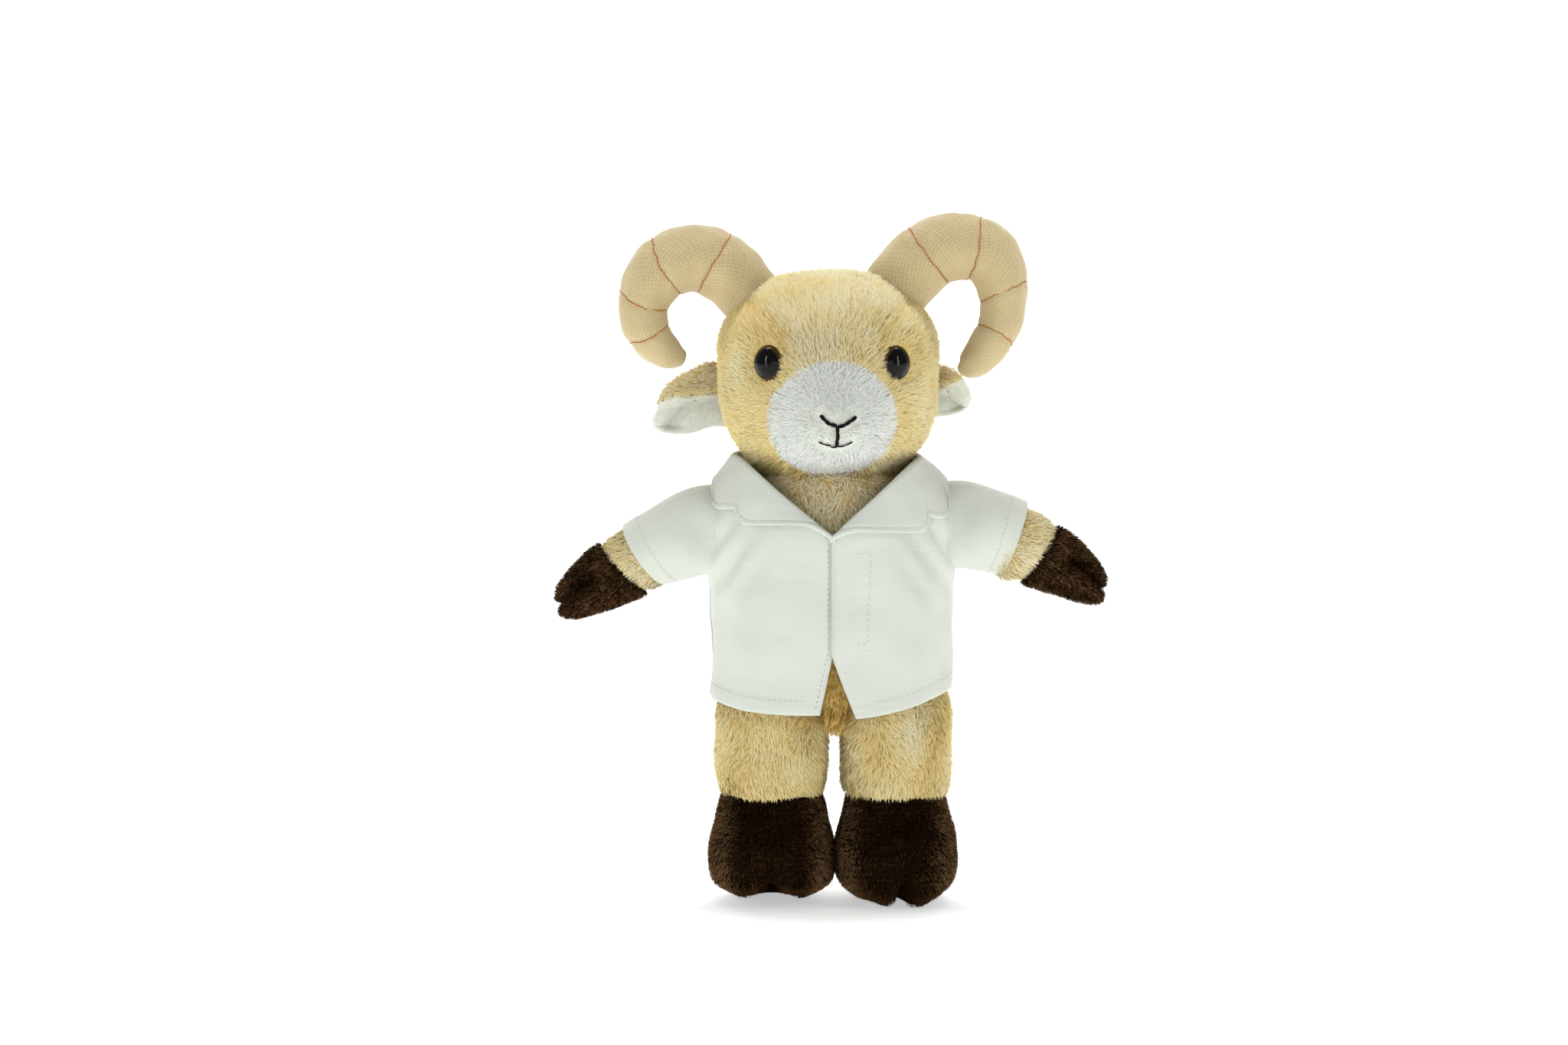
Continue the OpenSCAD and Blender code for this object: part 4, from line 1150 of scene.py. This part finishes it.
def shirt_at(a, z, t):
    """Point of the shirt's cloth at angle a and height z, t outside its plain form, with its soft folds."""
    w, d = shirt_size(z, t)
    p = vec(w * signed_power(np.cos(a), 2 / SHIRT_N), MID + d * signed_power(np.sin(a), 2 / SHIRT_N), z)
    drape = 0.7 * ripple(p * [1, 1, 0.35], 26, 141) + 0.3 * ripple(p, 17, 142)
    armpit = bell(np.abs(p[..., 0]) - 38, 10) * bell(z - 126, 13)
    pull = 1.0 * armpit * np.sin((z + 1.5 * np.abs(p[..., 0])) * 0.42)
    flare = 0.9 * ease((86 - z) / 20) * np.abs(np.sin(1.5 * a))
    return p + out_of_body(p) * (drape + pull + flare)[..., None]


def angle_at(x, z, t):
    """Angle of the point with the given x on the shirt's front."""
    w, _ = shirt_size(z, t)
    return TAU - np.arccos(np.clip(signed_power(np.clip(x / w, -1, 1), SHIRT_N / 2), -1, 1))


def hem_z(a):
    """Height of the hem: lowest at the front, and lower at the left side seam than at the right."""
    left = np.cos(a) < 0
    return 76.8 + 2.4 * np.cos(a) - np.maximum(-np.sin(a), 0) ** 2 * np.where(left, 5.7, 7.4)


def opening_x(z, side):
    """The opening's edge at height z: straight down, then turned outward; side -1 is the left front's."""
    lower = np.clip((OPEN_Z - z) / 23, 0, 1.4)
    return 0.6 - 4.9 * lower if side < 0 else -0.4 + 8.6 * lower ** 1.1


def neckline_x(z):
    return 1 + (z - NECK_V) * 32 / 28.4


def armhole(p):
    reach = np.hypot(p[..., 1] - MID, np.maximum(0, np.maximum(p[..., 2] - 138.3, 131 - p[..., 2])))
    return (reach < 11.4) & (np.abs(p[..., 0]) > 30)


def rides_up(o):
    """Gives the cloth its own copy of its mesh."""
    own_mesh(o)


def seam(name, lines, joint=None, colour=white_thread):
    points, faces = stitches(lines, 0.14, (1.9, 1.15), 0.0, as_is, out_of_body, 0.03, seed=len(name))
    o = piece(name, points, faces, colour, "torso")
    if joint:
        rides_up(o)


def hem_line(start, end, count, t):
    a = np.linspace(start, end, count)
    return shirt_at(a, hem_z(a) + HEM_SEAM, t)


def shirt_panel(name, node, a, z, t, from_edge, cloth_x):
    """Cloth of the shirt over angles a and heights z, with its armhole cut out and its hems turned in."""
    grid = shirt_at(a, z, t)
    points, quads = grid.reshape(-1, 3), grid_quads(*grid.shape[:2], closed=False)
    quads = facing_out(points, quads[~armhole(points[quads].mean(1))], [0, MID, 115])
    above = z - z[:1]
    hemmed = np.clip(ease((HEM - above) / 0.8) + ease((EDGE_HEM - from_edge) / 0.8), 0, 1)
    thick = CLOTH + HEM_CLOTH * hemmed - STITCH_DIP * bell(above - HEM_DIP, 0.5)
    o = thin(name, points, quads, thick.ravel(), shirt_cotton, (node,), vec(cloth_x, z))
    rides_up(o)


def shirt_front(side):
    """From the side seam to the opening's edge, and from the hem to the neckline."""
    u = np.linspace(0.0, 1, 50)[None, :]
    t = FRONT_T[side]
    a_side = math.pi if side < 0 else TAU

    def front_angle(z):
        return a_side + u * (angle_at(opening_x(z, side), z, t) - a_side)

    low, high = np.full(u.shape, 118.0), np.full(u.shape, SHIRT_TOP)
    for _ in range(24):
        mid = (low + high) / 2
        x = np.abs(shirt_size(mid, t)[0] * signed_power(np.cos(front_angle(mid)), 2 / SHIRT_N))
        inside = x > neckline_x(mid)
        low, high = np.where(inside, mid, low), np.where(inside, high, mid)
    foot = hem_z(front_angle(70.0))
    z = foot + np.linspace(0, 1, 72)[:, None] * (low - foot)
    a = front_angle(z)
    node = f"shirt_front_{NAME[side]}"
    shirt_panel(f"{node}_cloth", node, a, z, t, (1 - u) * 62, np.abs(a - 1.5 * math.pi) * 40)


def shirt_back(side, start):
    """One half of the back, from a side seam to the middle."""
    end = start + RIGHT_ANGLE
    a = np.linspace(start, end, 48)[None, :]
    foot = hem_z(a)
    z = foot + np.linspace(0, 1, 70)[:, None] * (SHIRT_TOP - foot)
    name = f"shirt_back_{NAME[side]}"
    shirt_panel(f"{name}_cloth", "shirt_back", a, z, BACK_T, np.inf, a * 40)
    seam(f"{name}_stitches", [hem_line(start + 0.03, end - 0.03, 55, BACK_T + 0.4)], SWING[side])


def closure(name, x0, t, node, mat):
    """Strip of hook-and-loop tape between the two fronts."""
    x = np.linspace(x0, TAPE_END, 16)[None, :]
    z = np.linspace(TAPE_LOW, TAPE_HIGH, 34)[:, None]
    points = shirt_at(angle_at(x, z, t), z, t).reshape(-1, 3)
    o = thin(name, points, grid_quads(34, 16, closed=False)[:, ::-1], 0.5, mat, (node,), vec(x, z))
    rides_up(o)


shirt_front(-1)
shirt_front(1)
z = np.linspace(130, 73, 70)
opening_line = shirt_at(angle_at(opening_x(z, -1) - 2.0, z, FRONT_T[-1]), z, FRONT_T[-1] + 0.52)
# The closure tape is sewn on along four sides
TAPE_CORNERS = [(2, 96.2), (12.2, 96.2), (13.2, 128.3), (3, 128.3), (2, 96.2)]
box = []
for corner in zip(TAPE_CORNERS[:-1], TAPE_CORNERS[1:]):
    x, z = np.linspace(*corner, 30).T
    box.append(shirt_at(angle_at(x, z, FRONT_T[1]), z, FRONT_T[1] + 0.33))
left_hem = hem_line(math.pi + 0.08, 1.5 * math.pi - 0.16, 60, FRONT_T[-1] + 0.35)
right_hem = hem_line(1.5 * math.pi + 0.27, TAU - 0.08, 60, FRONT_T[1] + 0.35)
seam("shirt_front_left_stitches", [left_hem], SWING[-1])
seam("opening_edge_stitches", [opening_line], SWING[-1], grey_thread)
seam("shirt_front_right_stitches", box + [right_hem], SWING[1])
shirt_back(1, 0.0)
shirt_back(-1, RIGHT_ANGLE)
closure("closure_hook_tape", -3, -1.3, "closure_hook_strip", hook_tape)
closure("closure_loop_tape", 3, 0.05, "closure_loop_strip", loop_tape)


# ---- Collar and lapels ------------------------------------------------------------------------

# From the V up to the notch, then round to the middle of the back: the line it folds over, and its outer edge
LAPEL_FOLD = {-1: [(1, -34.6, 133.3), (-4.5, -34.6, 138), (-10, -33.8, 142.6), (-21.5, -29.6, 152.2),
                   (-29, -22.5, 158.6), (-32.5, -16, 161.4)],
              1: [(-1, -34.6, 133.3), (4.8, -34.6, 138.6), (10, -33.8, 143.6), (20.5, -29.4, 153), (26.5, -23, 158),
                  (29.4, -16.5, 160.2)]}
LAPEL_EDGE = {-1: [(0.8, -35.6, 133), (-3.2, -36, 135.6), (-8.6, -36.2, 138.2), (-16, -35.6, 138.5), (-30, -31, 138.2),
                   (-32.6, -29.6, 139.6), (-33.6, -28.8, 141.8), (-34, -28.5, 143.6)],
              1: [(-0.8, -35.6, 133), (3.4, -36, 134.9), (9, -36.2, 136.1), (17, -35.6, 135.9), (30.2, -31, 135.4),
                  (33, -29.8, 136.6), (33.7, -29.2, 139), (34, -28.8, 141.3)]}
COLLAR_FOLD = {-1: [(-34, -10, 162), (-34.2, -3, 162.2), (-31.5, 9, 162), (-25, 19, 161.8), (-14, 27.5, 161.5)],
               1: [(31, -10, 161), (31.6, -3, 161.2), (29.6, 9, 161.4), (24, 19, 161.5), (13.7, 27.5, 161.3)]}
COLLAR_EDGE = {-1: [(-37, -27, 143.7), (-40, -24.4, 143.4), (-41.8, -22, 144.8), (-42.1, -18, 148.3),
                    (-42.2, -9, 151.3), (-41.6, 0, 152.8), (-39.3, 12, 153), (-30, 24, 153), (-16, 31.5, 153)],
               1: [(36.4, -27.4, 140.6), (39.4, -25.2, 140.4), (41.2, -22.6, 142.2), (41.4, -18.6, 146.6),
                   (41.3, -9, 150.9), (40.8, 0, 152.4), (38.6, 12, 153), (29.4, 24, 153), (15.7, 31.5, 153)]}
# The stitching's distance from the outer edge
COLLAR_SEAM = 2.1


def over_shirt(p, clearance):
    """Moves points outward where they would lie under the shirt's own surface."""
    x, y, z = xyz(p - [0, MID, 0])
    w, d = shirt_size(np.clip(z, 60, SHIRT_TOP), 1.0)
    level = ((np.abs(x) / w) ** SHIRT_N + (np.abs(y) / d) ** SHIRT_N) ** (1 / SHIRT_N)
    grow = np.maximum(1, (1 + clearance / 34) / np.maximum(level, 0.3))
    grow = np.where(z < SHIRT_TOP, grow, 1)
    return vec(x * grow, MID + y * grow, z)


def collar():
    """Open collar and its two lapels, one cloth from the V round the neck, with a stitched outer edge."""
    rows, lapel_cols, collar_cols = 26, 64, 150

    def whole(lapel, around, back):
        left = spline(lapel[-1], lapel_cols)
        right = spline(lapel[1], lapel_cols)[::-1]
        neck = spline(lapel[-1][-1:] + around[-1] + [back] + around[1][::-1] + lapel[1][-1:], collar_cols)
        return np.vstack([left[:-1], neck, right[1:]])

    fold = whole(LAPEL_FOLD, COLLAR_FOLD, (0, 30.5, 161.2))
    edge = whole(LAPEL_EDGE, COLLAR_EDGE, (0, 34.5, 153))
    for _ in range(3):  # eases the corners where the collar meets its lapels
        fold[1:-1] = 0.25 * fold[:-2] + 0.5 * fold[1:-1] + 0.25 * fold[2:]
    cols = len(fold)
    at = np.arange(cols)
    gorge = np.array([lapel_cols - 1, cols - lapel_cols])
    v = np.linspace(0, 1, rows)[:, None, None]
    p = fold + v * (edge - fold) + [0, MID, 0]
    out = unit((p - [0, MID, 0]) * [1, 1, 0.0] + [0, 0, 6.0])
    bulge = np.interp(at, [gorge[0] - 14, gorge[0] + 14, gorge[1] - 14, gorge[1] + 14], [0.6, 1.5, 1.5, 0.6])
    p = over_shirt(p + out * (bulge[:, None] * np.sin(math.pi * v) ** 0.8), 1.5)
    p = p + out * (0.25 * ripple(p, 12, 151))[..., None]
    # The fold rolls under, and a line of stitching runs inside the outer edge
    p[0] -= 0.9 * out[0] + [0, 0, 0.8]
    across = np.linalg.norm(edge - fold, axis=-1)
    row = (1 - COLLAR_SEAM / np.maximum(across, 4)) * (rows - 1)
    low = np.clip(row.astype(int), 0, rows - 2)
    part = (row - low)[:, None]
    line = ((1 - part) * p[low, at] + part * p[low + 1, at])[2:-2]
    seam("shirt_collar_stitches", [line + 0.42 * out_of_body(line)])
    inset = (1 - v[..., 0]) * across
    gorge_gap = np.abs(at[:, None] - gorge).min(1)
    thick = 1.1 - 0.5 * bell(inset - COLLAR_SEAM, 0.5) + 0.25 * bell(inset - 0.8, 0.8) \
        - 0.25 * bell(gorge_gap, 0.8) * ease((inset - 1) / 2)
    points = p.reshape(-1, 3)
    quads = facing_out(points, grid_quads(rows, cols, closed=False), [0, MID, 140])
    o = thin("shirt_collar_cloth", points, quads, thick.ravel(), shirt_cotton, ("shirt_collar",),
             vec(run_of(edge), inset))


collar()


# ---- Sleeves ----------------------------------------------------------------------------------

# From inside the armhole to the cuff: middle x, z, tilt in degrees, half height, half depth
SLEEVES = {-1: [(36, 135.6, 4, 14.2, 13.8), (42, 134.6, 9, 15.6, 15.0), (50, 132.3, 20, 15.2, 14.2),
                (59, 128.7, 29, 13.8, 13.2), (67, 125.3, 34.8, 12.6, 12.6)],
           1: [(36, 136.6, 2, 14.2, 13.8), (42, 135.8, 4, 15.5, 15.0), (50, 135.2, 10, 15.2, 14.4),
               (58, 133.3, 16, 14.3, 13.6), (65.7, 131.1, 19.5, 13.7, 13.4)]}


def sleeve(side, cuff_reach, phase, seed):
    """Short sleeve with soft folds at its root; cuff_reach is how far the cuff's front goes along the arm."""
    rows, cols = 64, 88
    line = spline(SLEEVES[side], rows)
    x, z, tilt, high, deep = line.T[:, :, None]
    tilt = np.radians(tilt)
    a = circle(cols)
    rise = high * np.sin(a)
    ring = vec(x + np.sin(tilt) * rise, MID + deep * np.cos(a), z + np.cos(tilt) * rise)
    core = vec(x, MID, z)
    out = unit(ring - core)
    run = run_of(line[:, :2])[:, None]
    long = run.max()
    folds = 0.9 * ease(1.15 - run / long) * np.sin(3 * a + 0.17 * run + phase) * bell(run - 10, 12)
    folds = (folds + 0.45 * ripple(ring * [0.6, 1, 0.6], 15, seed)) * ease((long - run + 2) / 6)
    reach = cuff_reach * np.maximum(-np.cos(a), 0) * ease(run / long) ** 2
    ring = ring + out * folds[..., None] + reach[..., None] * unit(np.gradient(core, axis=0))
    ring, core, out = (p * [side, 1, 1] for p in (ring, core, out))
    points = ring.reshape(-1, 3)
    quads = facing_out(points, grid_quads(rows, cols), np.repeat(core[:, 0], cols, axis=0))
    from_cuff = long - run
    thick = CLOTH + 0.4 * ease((CUFF_HEM - from_cuff) / 0.8) - STITCH_DIP * bell(from_cuff - CUFF_SEAM, 0.5)
    name = f"sleeve_{NAME[side]}"
    o = thin(f"{name}_cloth", points, quads, np.repeat(thick, cols), shirt_cotton, (name,),
             vec(run, a * 14), body=None)
    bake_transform(o)
    k = np.argmin(np.abs(from_cuff - CUFF_SEAM))
    loop = ring[k] + 0.35 * out[k]
    v, f = stitches([np.vstack([loop, loop[:1]])], 0.12, (1.9, 1.15), -0.03, as_is, lambda p: unit(p - core[k, 0]),
                    0.03, seed=9)
    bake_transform(piece(f"{name}_stitches", v, f, white_thread))


sleeve(-1, 2.4, 0, 161)
sleeve(1, 0.8, 0.6, 163)


# ---- Studio -----------------------------------------------------------------------------------

def stage_sweep():
    """Plain floor that curves up into a backdrop."""
    profile = [(-2.5, 0), (-1, 0), (0.5, 0), (0.9, 0)] + [
        (0.9 + 0.6 * math.sin(t), 0.6 - 0.6 * math.cos(t)) for t in np.linspace(0.15, RIGHT_ANGLE, 14)] + [(1.5, 3.0)]
    points = [(x, y, z) for y, z in profile for x in (-3.0, 3.0)]
    faces = [(2 * k, 2 * k + 1, 2 * k + 3, 2 * k + 2) for k in range(len(profile) - 1)]
    mesh = bpy.data.meshes.new("studio_floor")
    mesh.from_pydata(points, [], faces)
    mesh.polygons.foreach_set("use_smooth", [True] * len(faces))
    m = Material("studio_paper", (243, 244, 243), 0.95, specular=0.05)
    m.inputs["Emission Color"].default_value = (1, 1, 1, 1)
    m.inputs["Emission Strength"].default_value = 0.48
    m.relief(m.fine_noise(40, 3), 0.3)
    mesh.materials.append(m.made)
    add_object("studio_floor", mesh)


def lamp(name, place, target, size, power):
    data = bpy.data.lights.new(name, "AREA")
    data.shape = "RECTANGLE"
    data.size, data.size_y = size
    data.energy = power
    o = add_object(name, data)
    o.location = place
    o.rotation_euler = (Vector(target) - Vector(place)).to_track_quat("-Z", "Y").to_euler()


stage_sweep()
TOY = (0, 0, 0.14)
lamp("left_strip", (-1.05, -0.7, 0.42), TOY, (0.14, 0.9), 3.4)
lamp("right_strip", (1.05, -0.7, 0.42), TOY, (0.14, 0.9), 3.0)
lamp("front_softbox", (0.0, -1.9, 0.14), TOY, (1.8, 0.7), 4.9)
lamp("top_softbox", (0.0, -0.2, 1.3), TOY, (1.2, 1.0), 0.5)
lamp("backdrop_lamp", (0.0, 0.3, 1.8), (0, 1.4, 0.5), (2.0, 0.5), 30)
world = bpy.data.worlds.new("studio_air")
world.use_nodes = True
air = world.node_tree.nodes["Background"].inputs
air["Color"].default_value = linear((250, 252, 250))
air["Strength"].default_value = 0.27
bpy.context.scene.world = world
bpy.context.scene.view_settings.view_transform = "Standard"

AIM = Vector((-0.0169, 0, 0.1368))
DISTANCE, ELEVATION = 1.329, math.radians(4.5)
camera_data = bpy.data.cameras.new("camera")
camera_data.lens = 85
camera_data.sensor_width = 36
camera = add_object("camera", camera_data)
camera.location = AIM + DISTANCE * Vector((0, -math.cos(ELEVATION), math.sin(ELEVATION)))
camera.rotation_euler = (AIM - camera.location).to_track_quat("-Z", "Y").to_euler()
bpy.context.scene.camera = camera
